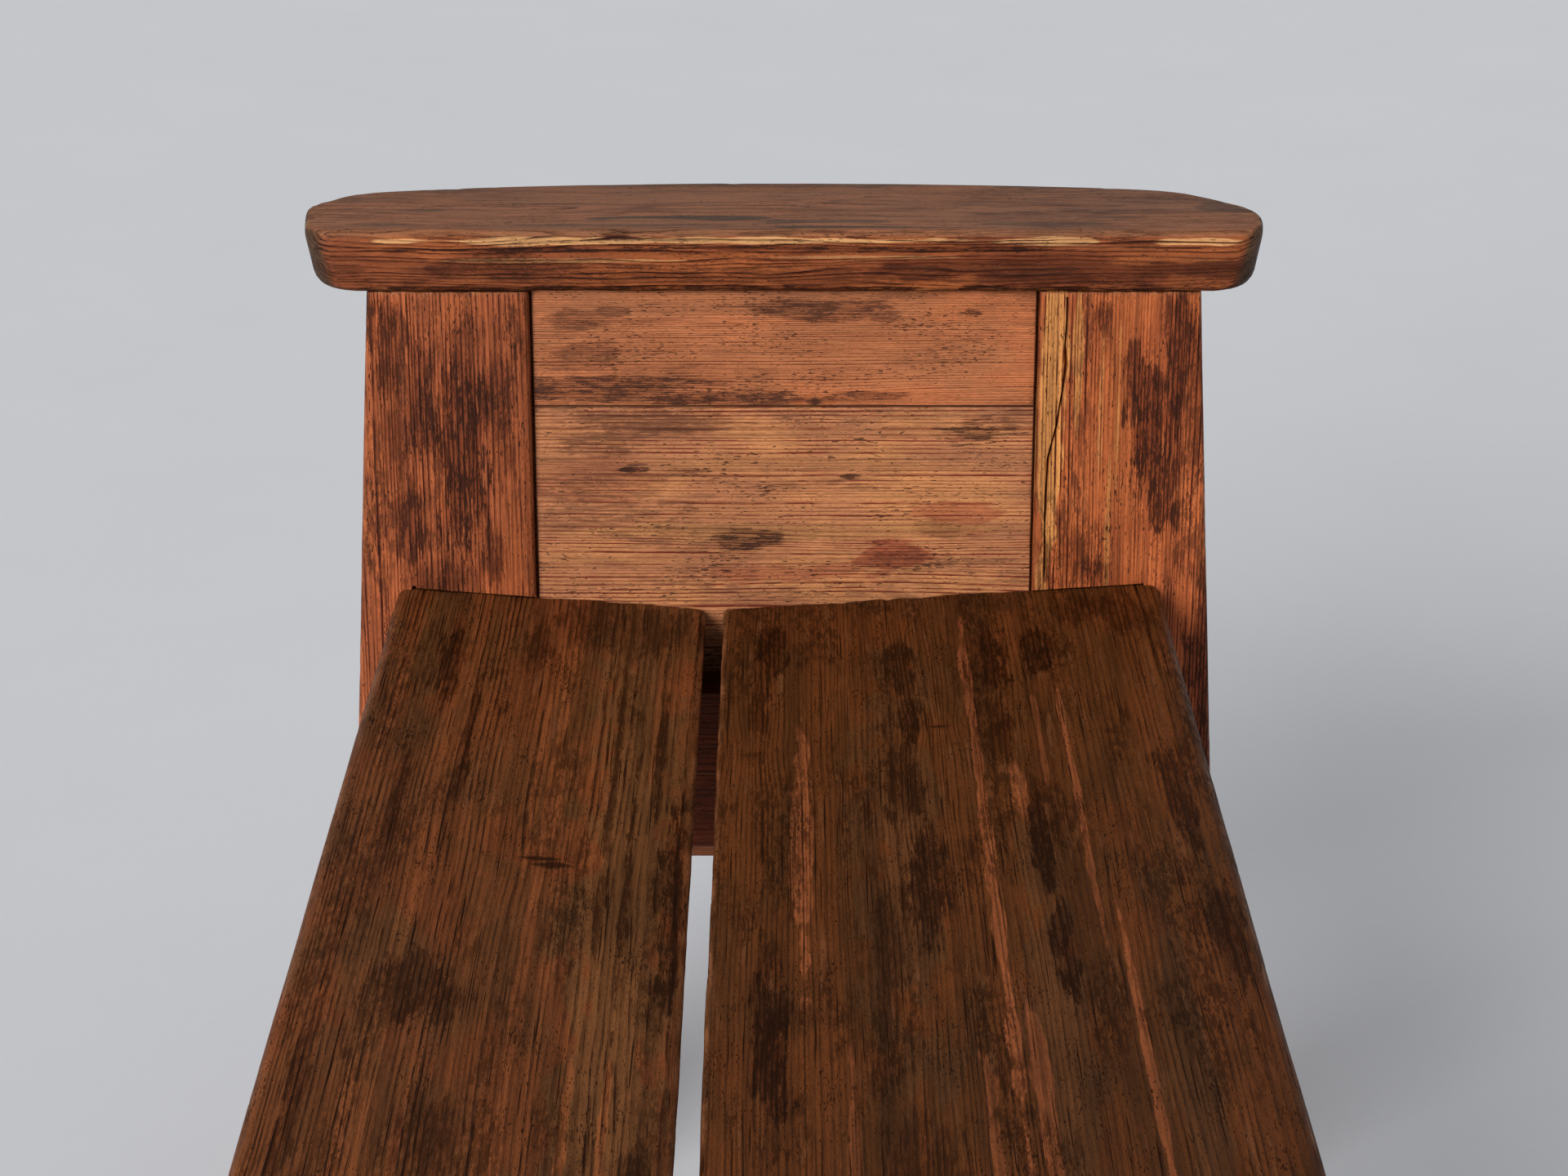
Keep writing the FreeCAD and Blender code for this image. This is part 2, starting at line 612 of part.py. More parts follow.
def make_batten():
    body = new_body("middle_batten")
    outline = cradle_outline(BATTEN_HALF, BATTEN_BOTTOM, "batten_corner_cut")
    pad(body, "board", "YZ_Plane", ("0", "0", "-batten_width / 2"), outline, "batten_width")
    half = "(rail_thickness / 2 + joint_clearance)"
    lap = [
        ("-" + half, BATTEN_BOTTOM),
        (half, BATTEN_BOTTOM),
        (half, RAIL_TOP),
        ("-" + half, RAIL_TOP),
    ]
    cut(body, "rail_lap", "YZ_Plane", ("0", "0", "-batten_width / 2"), lap, "batten_width")
    for number, across in enumerate(batten_screw_places(SEAT)):
        bore(body, "screw_hole_%d" % number, "XY_Plane", ("0", across, BATTEN_BOTTOM),
             "screw_diameter + 2 * screw_clearance", "batten_height + seat_thickness")
        countersink(body, "screw_sink_%d" % number, "XZ_Plane",
                    ("0", BATTEN_BOTTOM, "-(%s)" % across), 1, "V_Axis")
    return body


def make_rail():
    body = new_body("spine_rail")
    bottom = RAIL_TOP + " - rail_height"
    section = [
        ("-rail_thickness / 2", bottom),
        ("rail_thickness / 2", bottom),
        ("rail_thickness / 2", RAIL_TOP),
        ("-rail_thickness / 2", RAIL_TOP),
    ]
    half = "(clear_length / 2 - bearer_thickness)"
    pad(body, "rail", "YZ_Plane", ("0", "0", "-" + half), section, "2 * " + half)
    half_length = value(half)
    round_edges(body, "long_edges", "rail_edge_round", lambda picked: reach(picked).x > half_length)
    tenon = [
        ("-rail_tenon_thickness / 2", bottom + " + rail_tenon_shoulder"),
        ("rail_tenon_thickness / 2", bottom + " + rail_tenon_shoulder"),
        ("rail_tenon_thickness / 2", RAIL_TOP + " - rail_tenon_shoulder"),
        ("-rail_tenon_thickness / 2", RAIL_TOP + " - rail_tenon_shoulder"),
    ]
    half = "(clear_length / 2 - bearer_thickness + rail_tenon_length)"
    pad(body, "tenons", "YZ_Plane", ("0", "0", "-" + half), tenon, "2 * " + half)
    return body


# Dowels and screws: each node is a group of separate solids

def place(item, position, rotation):
    item.Placement = FreeCAD.Placement(FreeCAD.Vector(0, 0, 0), rotation)
    for axis, text in zip("xyz", position):
        bind(item, "Placement.Base." + axis, text)


def group(label, members):
    item = doc.addObject("Part::Compound", label)
    item.Label = label
    item.Links = members
    return item


UPRIGHT = FreeCAD.Rotation()


def make_dowel(name, position, length):
    dowel = doc.addObject("Part::Cylinder", name)
    bind(dowel, "Radius", "dowel_diameter / 2")
    bind(dowel, "Height", length)
    place(dowel, position, UPRIGHT)
    return dowel


def make_arm_dowels(end):
    bottom = "arm_underside - arm_dowel_in_post"
    dowels = [make_dowel("%s_arm_dowel_%d" % (end, number), (outward(ENDS[end], out), across, bottom),
                         "arm_dowel_in_post + arm_dowel_in_arm")
              for number, (out, across) in enumerate(arm_dowel_places())]
    return group("%s_arm_dowels" % end, dowels)


def make_seat_dowels(end):
    dowels = [make_dowel("%s_seat_dowel_%d" % (end, number),
                         (outward(ENDS[end], BEARER_MIDDLE), across, underside + " - seat_dowel_in_bearer"),
                         "seat_dowel_in_bearer + seat_dowel_in_board")
              for number, (across, underside) in enumerate(seat_dowel_places(ROWS))]
    return group("%s_seat_dowels" % end, dowels)


def make_screw(name, head, step, rotation, length):
    # head is the middle of the head's flat face, step the unit direction that the screw points in
    def along(distance):
        return ["%s + %d * (%s)" % (text, direction, distance) for text, direction in zip(head, step)]

    sink = doc.addObject("Part::Cone", name + "_head")
    bind(sink, "Radius1", "screw_head_diameter / 2")
    bind(sink, "Radius2", "screw_diameter / 2")
    bind(sink, "Height", "(screw_head_diameter - screw_diameter) / screw_head_diameter * screw_head_height")
    place(sink, head, rotation)
    shank = doc.addObject("Part::Cylinder", name + "_shank")
    bind(shank, "Radius", "screw_diameter / 2")
    bind(shank, "Height", "%s - screw_tip_length - screw_slot_depth" % length)
    place(shank, along("screw_slot_depth"), rotation)
    tip = doc.addObject("Part::Cone", name + "_tip")
    bind(tip, "Radius1", "screw_diameter / 2")
    tip.Radius2 = 0
    bind(tip, "Height", "screw_tip_length")
    place(tip, along(length + " - screw_tip_length"), rotation)
    whole = doc.addObject("Part::MultiFuse", name + "_whole")
    whole.Shapes = [sink, shank, tip]
    slot = doc.addObject("Part::Box", name + "_slot")
    bind(slot, "Length", "screw_slot_width")
    bind(slot, "Width", "screw_head_diameter")
    bind(slot, "Height", "screw_slot_depth")
    corner = rotation.multVec(FreeCAD.Vector(1, 0, 0))
    shift = ["%s - (%.0f) * screw_slot_width / 2" % (text, part) for text, part in zip(head, corner)]
    shift[1] += " - screw_head_diameter / 2"
    place(slot, shift, rotation)
    screw = doc.addObject("Part::Cut", name)
    screw.Base = whole
    screw.Tool = slot
    return screw


def make_bearer_screws(end):
    side = ENDS[end]
    turned = FreeCAD.Rotation(FreeCAD.Vector(0, 1, 0), 90 * side)
    screws = [make_screw("%s_bearer_screw_%d" % (end, number),
                         (outward(side, "-bearer_thickness"), across, height),
                         (side, 0, 0), turned, BEARER_SCREW)
              for number, (across, height) in enumerate(bearer_screw_places(ROWS.values()))]
    return group("%s_bearer_screws" % end, screws)


def make_batten_screws():
    screws = [make_screw("batten_screw_%d" % number, ("0", across, BATTEN_BOTTOM),
                         (0, 0, 1), UPRIGHT, BATTEN_SCREW)
              for number, across in enumerate(batten_screw_places(SEAT))]
    return group("batten_screws", screws)


# The whole bench

nodes = []
for end in ENDS:
    nodes += [make_post(end, row) for row in ROWS]
    nodes.append(make_panel_board(end, "lower", PANEL_BOTTOM, LOWER_JOINT, False))
    nodes.append(make_panel_board(end, "middle", LOWER_JOINT, UPPER_JOINT, True))
    nodes.append(make_panel_board(end, "upper", UPPER_JOINT, "arm_underside", True))
    nodes.append(make_arm(end))
    nodes.append(make_bearer(end))
    nodes.append(make_arm_dowels(end))
    nodes.append(make_seat_dowels(end))
    nodes.append(make_bearer_screws(end))
nodes += [make_seat_board(row) for row in ROWS]
nodes.append(make_batten())
nodes.append(make_rail())
nodes.append(make_batten_screws())
doc.recompute()

# Nothing is written unless every feature worked and every piece is sound

for item in doc.Objects:
    if "Invalid" in item.State or "Error" in item.State:
        raise RuntimeError("%s failed: %s" % (item.Name, item.State))
for base, feature in checked_cuts:
    if not feature.Shape.Volume < base.Shape.Volume:
        owner = feature.getParentGeoFeatureGroup()
        raise RuntimeError("%s of %s takes nothing away" % (feature.Name, owner.Label))
for node in nodes:
    if node.Shape.isNull() or not node.Shape.isValid():
        raise RuntimeError("%s is not a sound solid" % node.Label)
    node.Shape.exportStep("parts/%s.step" % node.Label)
    box = node.Shape.BoundBox
    print("%-26s %2d solid(s) %10.0f mm3  X %7.1f %7.1f  Y %7.1f %7.1f  Z %6.1f %6.1f" % (
        node.Label, len(node.Shape.Solids), node.Shape.Volume,
        box.XMin, box.XMax, box.YMin, box.YMax, box.ZMin, box.ZMax))
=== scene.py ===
import math
from collections import defaultdict

import bmesh
import bpy
import numpy as np
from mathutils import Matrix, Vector, noise


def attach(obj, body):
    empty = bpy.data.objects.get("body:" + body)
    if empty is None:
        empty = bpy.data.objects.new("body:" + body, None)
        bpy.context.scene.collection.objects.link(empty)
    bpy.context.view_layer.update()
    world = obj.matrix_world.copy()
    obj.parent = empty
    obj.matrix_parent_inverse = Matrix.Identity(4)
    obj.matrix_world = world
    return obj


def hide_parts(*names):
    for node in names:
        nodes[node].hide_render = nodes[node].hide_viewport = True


# Bench of old oiled pine: two panelled ends, flat arms and a seat of two boards that slope to a gap.
# Board shapes are worked out in millimetres as (along the grain, across it, depth) and then laid in
# the row frame in metres: X along the bench, Y from front to rear, Z up.

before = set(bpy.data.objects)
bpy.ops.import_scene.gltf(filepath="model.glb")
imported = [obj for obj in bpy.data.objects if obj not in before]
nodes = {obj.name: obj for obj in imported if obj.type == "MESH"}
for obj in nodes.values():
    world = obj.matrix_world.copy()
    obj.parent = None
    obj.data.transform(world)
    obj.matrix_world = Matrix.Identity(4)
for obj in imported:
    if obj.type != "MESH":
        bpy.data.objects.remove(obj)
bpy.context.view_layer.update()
toMetres = 0.001
beyond = 5      # how far a cutting tool reaches past the wood, in mm

bench = {
    "halfClear": 638,        # middle of the bench to the posts' inner faces
    "postInner": 148.5,      # middle to a post's upright edge
    "armUnderside": 616,
    "seatThickness": 38,
    "gapHeight": 418,        # top of the seat boards at the gap
    "seatLength": 643.7,     # half of it
}
seatRows = {
    "front": {"hand": -1, "gapEdge": -45.0, "slope": 4.6, "width": 185.0, "spare": (1.4, 1.6)},
    "rear": {"hand": 1, "gapEdge": -35.0, "slope": 3.9, "width": 257.6, "spare": (-1.6, 2.0)},
}
ends = {"left": -1, "right": 1}


# Grids for boards

def roundOffsets(*radii, count=3):
    # distances from an edge at which a rounding of each radius needs a grid line
    marks = {0.0}
    for radius in radii:
        for part in range(count + 1):
            turn = math.radians(45 * part / count)
            marks.add(round(radius * (1 - math.tan(turn)), 4))
    return sorted(marks)


def spread(start, stop, step):
    count = max(1, int(round(abs(stop - start) / step)))
    return list(np.linspace(start, stop, count + 1))


def sideLines(lowOffsets, highOffsets, width, step):
    # each line of the grid as a share of the low edge, and what is added to it
    low, high = lowOffsets[-1], highOffsets[-1]
    lines = [(1.0, mark) for mark in lowOffsets]
    count = max(1, int(round((width - low - high) / step)))
    for part in range(1, count):
        share = part / count
        lines.append((1 - share, low * (1 - share) - high * share))
    lines.extend((0.0, -mark) for mark in reversed(highOffsets))
    return np.array(lines)


def alongLines(start, stop, step, startRound, stopRound, breaks):
    # places along a board and how far its section is drawn in there
    marks = [start + startRound, *sorted(breaks), stop - stopRound]
    places = []
    for near, far in zip(marks, marks[1:]):
        places.extend(spread(near, far, step)[:-1])
    places.append(marks[-1])
    lines = [(place, 0.0) for place in places]
    for turn in (30, 60, 90):
        drawn = 1 - math.cos(math.radians(turn))
        gone = 1 - math.sin(math.radians(turn))
        lines.insert(0, (start + startRound * gone, startRound * drawn))
        lines.append((stop - stopRound * gone, stopRound * drawn))
    return lines


def roundCorner(across, depth, edge, face, radius, sideSign, faceSign):
    # points within the corner's square slide onto its quarter circle, rows staying in step
    middleAcross = edge - sideSign * radius
    middleDepth = face - faceSign * radius
    outAcross = (across - middleAcross) * sideSign
    outDepth = (depth - middleDepth) * faceSign
    inside = (outAcross > 0) & (outDepth > 0)
    longest = np.maximum(outAcross, outDepth)
    length = np.maximum(np.hypot(outAcross, outDepth), 1e-6)
    scale = np.where(inside, longest / length, 1.0)
    across = np.where(inside, middleAcross + sideSign * outAcross * scale, across)
    depth = np.where(inside, middleDepth + faceSign * outDepth * scale, depth)
    return across, depth


def cellGrid(rows, columns, stations, layer):
    # a ring of points at each station from the grid's rim, the first and the last filled with its inner cells
    rim = [(row, 0) for row in range(rows)]
    rim += [(rows - 1, column) for column in range(1, columns)]
    rim += [(row, columns - 1) for row in range(rows - 2, -1, -1)]
    rim += [(0, column) for column in range(columns - 2, 0, -1)]
    inner = [(row, column) for row in range(1, rows - 1) for column in range(1, columns - 1)]
    layers = [layer(rim, *station) for station in stations]
    count = len(rim)
    faces = []
    for number in range(len(stations) - 1):
        base = number * count
        for spot in range(count):
            after = (spot + 1) % count
            faces.append((base + spot, base + after, base + count + after, base + count + spot))
    filled = len(stations) * count
    for number in (0, len(stations) - 1):
        layers.append(layer(inner, *stations[number]))
        index = {cell: number * count + spot for spot, cell in enumerate(rim)}
        index.update({cell: filled + spot for spot, cell in enumerate(inner)})
        filled += len(inner)
        for i in range(rows - 1):
            for j in range(columns - 1):
                faces.append((index[i, j], index[i + 1, j], index[i + 1, j + 1], index[i, j + 1]))
    return np.vstack(layers), faces


def plankMesh(board):
    # a closed grid over a board: its four long sides and its two ends
    lowBase, lowTop, highBase, highTop = board["rounds"]
    faceLow, faceHigh = board["depth"]
    start, stop = board["along"]
    step, edges = board["step"], board["edges"]
    widest = max(edges(place)[1] - edges(place)[0] for place in (start, (start + stop) / 2, stop))
    acrossLines = sideLines(roundOffsets(lowBase, lowTop), roundOffsets(highBase, highTop), widest, step)
    depthLines = sideLines(roundOffsets(lowBase, highBase), roundOffsets(lowTop, highTop),
                           faceHigh - faceLow, step)
    depths = depthLines[:, 0] * faceLow + (1 - depthLines[:, 0]) * faceHigh + depthLines[:, 1]

    def section(cells, place, drawn):
        low, high = edges(place)
        columns, rows = np.array(cells).T
        share = acrossLines[columns, 0]
        across = share * low + (1 - share) * high + acrossLines[columns, 1]
        depth = depths[rows]
        for corner in ((low, faceLow, lowBase, -1, -1), (low, faceHigh, lowTop, -1, 1),
                       (high, faceLow, highBase, 1, -1), (high, faceHigh, highTop, 1, 1)):
            across, depth = roundCorner(across, depth, *corner)
        middle, centre = (low + high) / 2, (faceLow + faceHigh) / 2
        across = middle + (across - middle) * (1 - 2 * drawn / (high - low))
        depth = centre + (depth - centre) * (1 - 2 * drawn / (faceHigh - faceLow))
        return np.column_stack([np.full(len(cells), place), across, depth])

    stations = alongLines(start, stop, step, *board["endRounds"], board.get("breaks", ()))
    return cellGrid(len(acrossLines), len(depthLines), stations, section)


def edgeNearness(board, points):
    # distance from each point of a board's surface to its nearest arris
    along, across, depth = points.T
    low, high = np.array([board["edges"](place) for place in along]).T
    start, stop = board["along"]
    gaps = np.column_stack([
        np.minimum(along - start, stop - along),
        np.minimum(across - low, high - across),
        np.minimum(depth - board["depth"][0], board["depth"][1] - depth),
    ])
    return np.sort(np.abs(gaps), axis=1)[:, 1]


# Tools that cut joints, holes and cracks

def prismTool(outline, axis, near, far, flare=1.0):
    # a straight tool with this outline; flare scales its far end for a countersink
    count = len(outline)
    middle = np.mean(outline, axis=0)
    points = []
    for place, scale in ((near, 1.0), (far, flare)):
        for spot in outline:
            point = list(middle + (np.array(spot) - middle) * scale)
            point.insert(axis, place)
            points.append(point)
    faces = [tuple(range(count)), tuple(range(count, 2 * count))]
    for spot in range(count):
        after = (spot + 1) % count
        faces.append((spot, after, count + after, count + spot))
    return points, faces


def slabTool(first, second, axis, near, far):
    # a straight tool with a rectangle as its outline
    return prismTool([(first[0], second[0]), (first[1], second[0]), (first[1], second[1]),
                      (first[0], second[1])], axis, near, far)


def roundOutline(first, second, radius, count=20):
    turns = [2 * math.pi * part / count for part in range(count)]
    return [(first + radius * math.cos(turn), second + radius * math.sin(turn)) for turn in turns]


def crackTool(crack):
    # a wedge that wanders along a path of (along, across, half width), deeper where it is wider
    points = []
    for along, across, half in crack["path"]:
        points.append((along, across - half, -crack["proud"]))
        points.append((along, across + half, -crack["proud"]))
        points.append((along, across + crack["lean"] * half, crack["deep"] * min(1.0, crack["least"] + half)))
    faces = [(0, 1, 2), (len(points) - 3, len(points) - 2, len(points) - 1)]
    for station in range(len(crack["path"]) - 1):
        base = 3 * station
        for side in range(3):
            after = (side + 1) % 3
            faces.append((base + side, base + after, base + 3 + after, base + 3 + side))
    return points, faces


def addObject(name, data):
    added = bpy.data.objects.new(name, data)
    bpy.context.scene.collection.objects.link(added)
    return added


def looseObject(name, points, faces):
    mesh = bpy.data.meshes.new(name)
    mesh.from_pydata([tuple(map(float, point)) for point in points], [], faces)
    shape = bmesh.new()
    shape.from_mesh(mesh)
    bmesh.ops.recalc_face_normals(shape, faces=shape.faces)
    shape.to_mesh(mesh)
    shape.free()
    return addObject(name, mesh)


def dropObject(loose):
    mesh = loose.data
    bpy.data.objects.remove(loose)
    bpy.data.meshes.remove(mesh)


def joinTools(tools):
    points, faces = [], []
    for toolPoints, toolFaces in tools:
        base = len(points)
        points.extend(toolPoints)
        faces.extend(tuple(base + spot for spot in face) for face in toolFaces)
    return points, faces


def workBoard(name, points, faces, cuts, additions, lastCuts):
    # the board after its tongues are added and its joints cut; tools that overlap others come last
    board = looseObject(name, points, faces)
    for operation, tools in (("UNION", additions), ("DIFFERENCE", cuts), ("DIFFERENCE", lastCuts)):
        if not tools:
            continue
        tool = looseObject(name + "Tool", *joinTools(tools))
        step = board.modifiers.new("joint", "BOOLEAN")
        step.operation = operation
        step.solver = "EXACT"
        step.object = tool
        bpy.context.view_layer.update()
        shaped = bpy.data.meshes.new_from_object(board.evaluated_get(bpy.context.evaluated_depsgraph_get()))
        board.modifiers.clear()
        dropObject(tool)
        spare = board.data
        board.data = shaped
        bpy.data.meshes.remove(spare)
    return board


wearShape = {
    "slowLengths": (170, 38, 38), "rubLengths": (48, 20, 20), "nickLengths": (9, 6, 6),
    "rubFrom": -0.1, "nickFrom": 0.28, "sharpAngle": 38,
}


def wander(points, lengths, shift):
    return np.array([noise.noise(place) for place in (points / lengths + shift).tolist()])


def wearBoard(piece, board, wear):
    # slow waviness of a hand-planed face, and arrises rubbed and nicked by use
    mesh = piece.data
    count = len(mesh.vertices)
    points, normals = np.empty(count * 3), np.empty(count * 3)
    mesh.vertices.foreach_get("co", points)
    mesh.vertex_normals.foreach_get("vector", normals)
    points, normals = points.reshape(-1, 3), normals.reshape(-1, 3)
    nearness = board.get("nearness", edgeNearness)(board, points)
    arris = np.clip(1 - nearness / wear["arrisReach"], 0, 1)
    seed = wear["seed"]
    rub = np.clip(wander(points, wearShape["rubLengths"], (0, seed, 0)) - wearShape["rubFrom"], 0, 1)
    nick = np.clip(wander(points, wearShape["nickLengths"], (0, 0, seed)) - wearShape["nickFrom"], 0, 1)
    move = wander(points, wearShape["slowLengths"], (seed, 0, 0)) * wear["wave"]
    move -= arris ** 2 * rub * wear["rub"] + arris ** 3 * nick * wear["nick"]
    points = points + normals * move[:, None]
    attribute = mesh.attributes.new("arris", "FLOAT", "POINT")
    attribute.data.foreach_set("value", arris.astype(np.float32))
    return points


def layBoard(board, cuts=(), additions=(), lastCuts=()):
    # the finished board in the row frame, under its node's name without the strokes
    first, *others = board["node"].split("_")
    name = first + "".join(word.capitalize() for word in others)
    piece = workBoard(name, *board.get("mesh", plankMesh)(board), cuts, additions, lastCuts)
    points = wearBoard(piece, board, board["wear"])
    basis = np.array(board["basis"])
    laid = (np.array(board["origin"]) + points @ basis) * toMetres
    laid[:, 2] = np.maximum(laid[:, 2], 0)
    piece.data.vertices.foreach_set("co", laid.ravel())
    shape = bmesh.new()
    shape.from_mesh(piece.data)
    if np.linalg.det(basis) < 0:
        bmesh.ops.reverse_faces(shape, faces=shape.faces)
    shape.to_mesh(piece.data)
    shape.free()
    piece.data.update()
    piece.data.shade_smooth()
    piece.data.set_sharp_from_angle(angle=math.radians(wearShape["sharpAngle"]))
    piece.data.materials.clear()
    piece.data.materials.append(board["material"])
    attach(piece, "root")
    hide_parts(board["node"])


# Node helpers

noiseSeeds = (3.7, 9.1, 5.3)
farAway = (311.0, 173.0, 97.0)     # the same board somewhere else in the noise
boardColours = ("Early", "Late Wood", "Warm", "Gold", "Soak", "Grime", "Worn")
socketKinds = defaultdict(lambda: "NodeSocketFloat", Board="NodeSocketVector", Color="NodeSocketColor")
socketKinds.update(dict.fromkeys(boardColours, "NodeSocketColor"))
fall = (1.0, 0.0)                  # a step that goes down instead of up
endTurn = (0.22, 0.6)              # how far a face has to turn to show end grain


class Signal:
    # a node's output that takes part in sums as a number would
    def __init__(self, socket):
        self.socket = socket
        self.tree = socket.id_data

    def __add__(self, other):
        return calc("ADD", self, other)

    def __sub__(self, other):
        return calc("SUBTRACT", self, other)

    def __mul__(self, other):
        return calc("MULTIPLY", self, other)

    def __truediv__(self, other):
        return calc("DIVIDE", self, other)


def feed(socket, value):
    if isinstance(value, Signal):
        value.tree.links.new(value.socket, socket)
    elif value is not None:
        socket.default_value = value


def newNode(kind, values, inputs, tree=None, **settings):
    # a node in the tree of the values that feed these inputs of it
    if tree is None:
        tree = next(value.tree for value in values if isinstance(value, Signal))
    node = tree.nodes.new(kind)
    for key, setting in settings.items():
        setattr(node, key, setting)
    for place, value in zip(inputs, values):
        feed(node.inputs[place], value)
    return node


def calc(operation, *values, clamp=False):
    node = newNode("ShaderNodeMath", values, range(len(values)), operation=operation, use_clamp=clamp)
    return Signal(node.outputs[0])


def vectorCalc(operation, *values):
    return Signal(newNode("ShaderNodeVectorMath", values, range(len(values)), operation=operation).outputs[0])


def softStep(value, low, high, lowOut=0.0, highOut=1.0):
    values = (value, low, high, lowOut, highOut)
    return Signal(newNode("ShaderNodeMapRange", values, range(5), interpolation_type="SMOOTHSTEP").outputs[0])


def mixColour(factor, first, second, blend="MIX"):
    # without a mask the first colour stays as it is
    if factor is None:
        return first
    node = newNode("ShaderNodeMix", (factor, first, second), (0, 6, 7), data_type="RGBA", blend_type=blend)
    return Signal(node.outputs[2])


def largest(*values):
    # the highest of some masks, none at all if there are none
    result = values[0] if values else None
    for value in values[1:]:
        result = calc("MAXIMUM", result, value, clamp=True)
    return result


def splitVector(vector):
    return [Signal(socket) for socket in newNode("ShaderNodeSeparateXYZ", (vector,), (0,)).outputs]


def grainNoise(vector, seed, lengths, detail=2.0, roughness=0.5):
    # noise over a board with features of these lengths in mm, along, across and in depth
    shift = tuple(seed * factor for factor in noiseSeeds)
    if isinstance(seed, Signal):
        shift = Signal(newNode("ShaderNodeCombineXYZ", shift, range(3)).outputs[0])
    scaled = vectorCalc("MULTIPLY", vector, tuple(1 / length for length in lengths))
    values = (vectorCalc("ADD", scaled, shift), 1.0, detail, roughness)
    node = newNode("ShaderNodeTexNoise", values, ("Vector", "Scale", "Detail", "Roughness"))
    return Signal(node.outputs["Fac"])


def grainNoises(board, seed, noises):
    return {name: grainNoise(board, seed, *shape) for name, shape in noises.items()}


def newGroup(name, inputs, build):
    # a node group whose outputs are what build makes of its inputs
    group = bpy.data.node_groups.new(name, "ShaderNodeTree")
    for label in inputs:
        group.interface.new_socket(label, in_out="INPUT", socket_type=socketKinds[label])
    entry = group.nodes.new("NodeGroupInput").outputs
    made = build({label: Signal(entry[label]) for label in inputs})
    for label in made:
        group.interface.new_socket(label, in_out="OUTPUT", socket_type=socketKinds[label])
    leaving = group.nodes.new("NodeGroupOutput").inputs
    for label, value in made.items():
        feed(leaving[label], value)


def useGroup(tree, name, values):
    group = bpy.data.node_groups[name]
    node = newNode("ShaderNodeGroup", values.values(), values.keys(), tree, node_tree=group)
    return {socket.name: Signal(socket) for socket in node.outputs}


# Effects that the boards share
# A noise is the lengths of its features in mm along, across and deep, its detail and its roughness,
# and a step is where it starts and ends, and what it gives there if that isn't 0 and 1

rings = {
    "noises": {"drift": ((420, 75, 75), 1.0), "wave": ((120, 15, 15), 2.0), "shake": ((44, 3.4, 3.4), 1.0)},
    "shake": 0.36, "swellScale": 0.21, "swellSeed": 17.0, "swell": 2.2,
    "late": (0.4, 0.86), "lateEnd": (0.9, 1.0, *fall),
}
fibres = {
    "noises": {
        "streak": ((46, 0.95, 0.95), 3.0, 0.62), "dash": ((4.6, 0.75, 0.75), 1.5),
        "crowd": ((55, 20, 20), 3.0, 0.6), "crumb": ((10, 1.3, 1.3), 4.0, 0.74),
        "cloud": ((95, 40, 40), 3.0, 0.55), "blotch": ((34, 9, 9), 2.0), "band": ((520, 15, 15), 3.0, 0.6),
    },
    "farNoises": {
        "broken": ((26, 2.4, 2.4), 2.0, 0.6), "flake": ((17, 4.6, 4.6), 4.0, 0.72),
        "stroke": ((20, 1.7, 1.7), 4.0, 0.68), "check": ((95, 1.3, 1.3), 1.5),
        "zone": ((150, 30, 30), 3.0, 0.6), "scuff": ((80, 4.5, 4.5), 4.0, 0.68),
    },
    "steps": {
        "Streak": ("streak", 0.32, 0.68), "Fleck": ("dash", 0.3, 0.7), "Checks": ("check", 0.64, 0.7),
        "Broken": ("broken", 0.36, 0.58, 0.35, 1.0), "Scuff": ("scuff", 0.56, 0.7),
    },
    "crowd": 0.5, "pores": (0.89, 0.95), "crust": (0.95, 1.05), "zone": (0.48, 0.6),
    "blotch": 0.8, "softRag": 0.9, "stroke": 1.1, "crumb": 0.5, "rag": 1.7,
}
patch = {"rag": 2.0, "edge": (0.72, 0.96, *fall)}
knotShape = {
    "rag": 0.7, "sweepAlong": -0.02, "sweepAcross": -0.3, "core": (0.3, 0.9, *fall),
    "haloRise": (0.8, 1.15), "haloEnd": (1.2, 2.1, *fall),
}
wornEdge = {
    "broken": ((38, 7, 7), 4.0, 0.6), "rubbed": (0.24, 0.56), "dirt": (0.3, 0.6, 0.0, 0.45),
    "joint": (0.6, 0.9),
}
pine = {
    "toneGain": 0.75, "toneBase": 0.45, "bandDark": (0.36, 0.62, 0.55, 1.1), "warmCloud": (0.42, 0.62),
    "warmShare": 0.55, "bandGlow": (0.46, 0.66), "streakGain": 0.28, "streakBase": 0.86, "fleckGain": 0.3,
    "fleckBase": 0.85, "cloudShade": (0.3, 0.7, 0.84, 1.14), "bandShade": (0.32, 0.62), "bandMiddle": 0.6,
    "rubbed": 0.8, "soaked": 0.6, "crustLate": 0.9, "crustGain": 0.76, "crustBase": 0.1, "heart": 0.85,
    "rough": 0.42, "roughStreak": 0.1, "roughGrime": 0.16, "roughRubbed": -0.1,
    "highLate": 0.5, "highStreak": 0.28, "highFleck": 0.2, "highPores": -0.8, "highHeart": -0.5,
}


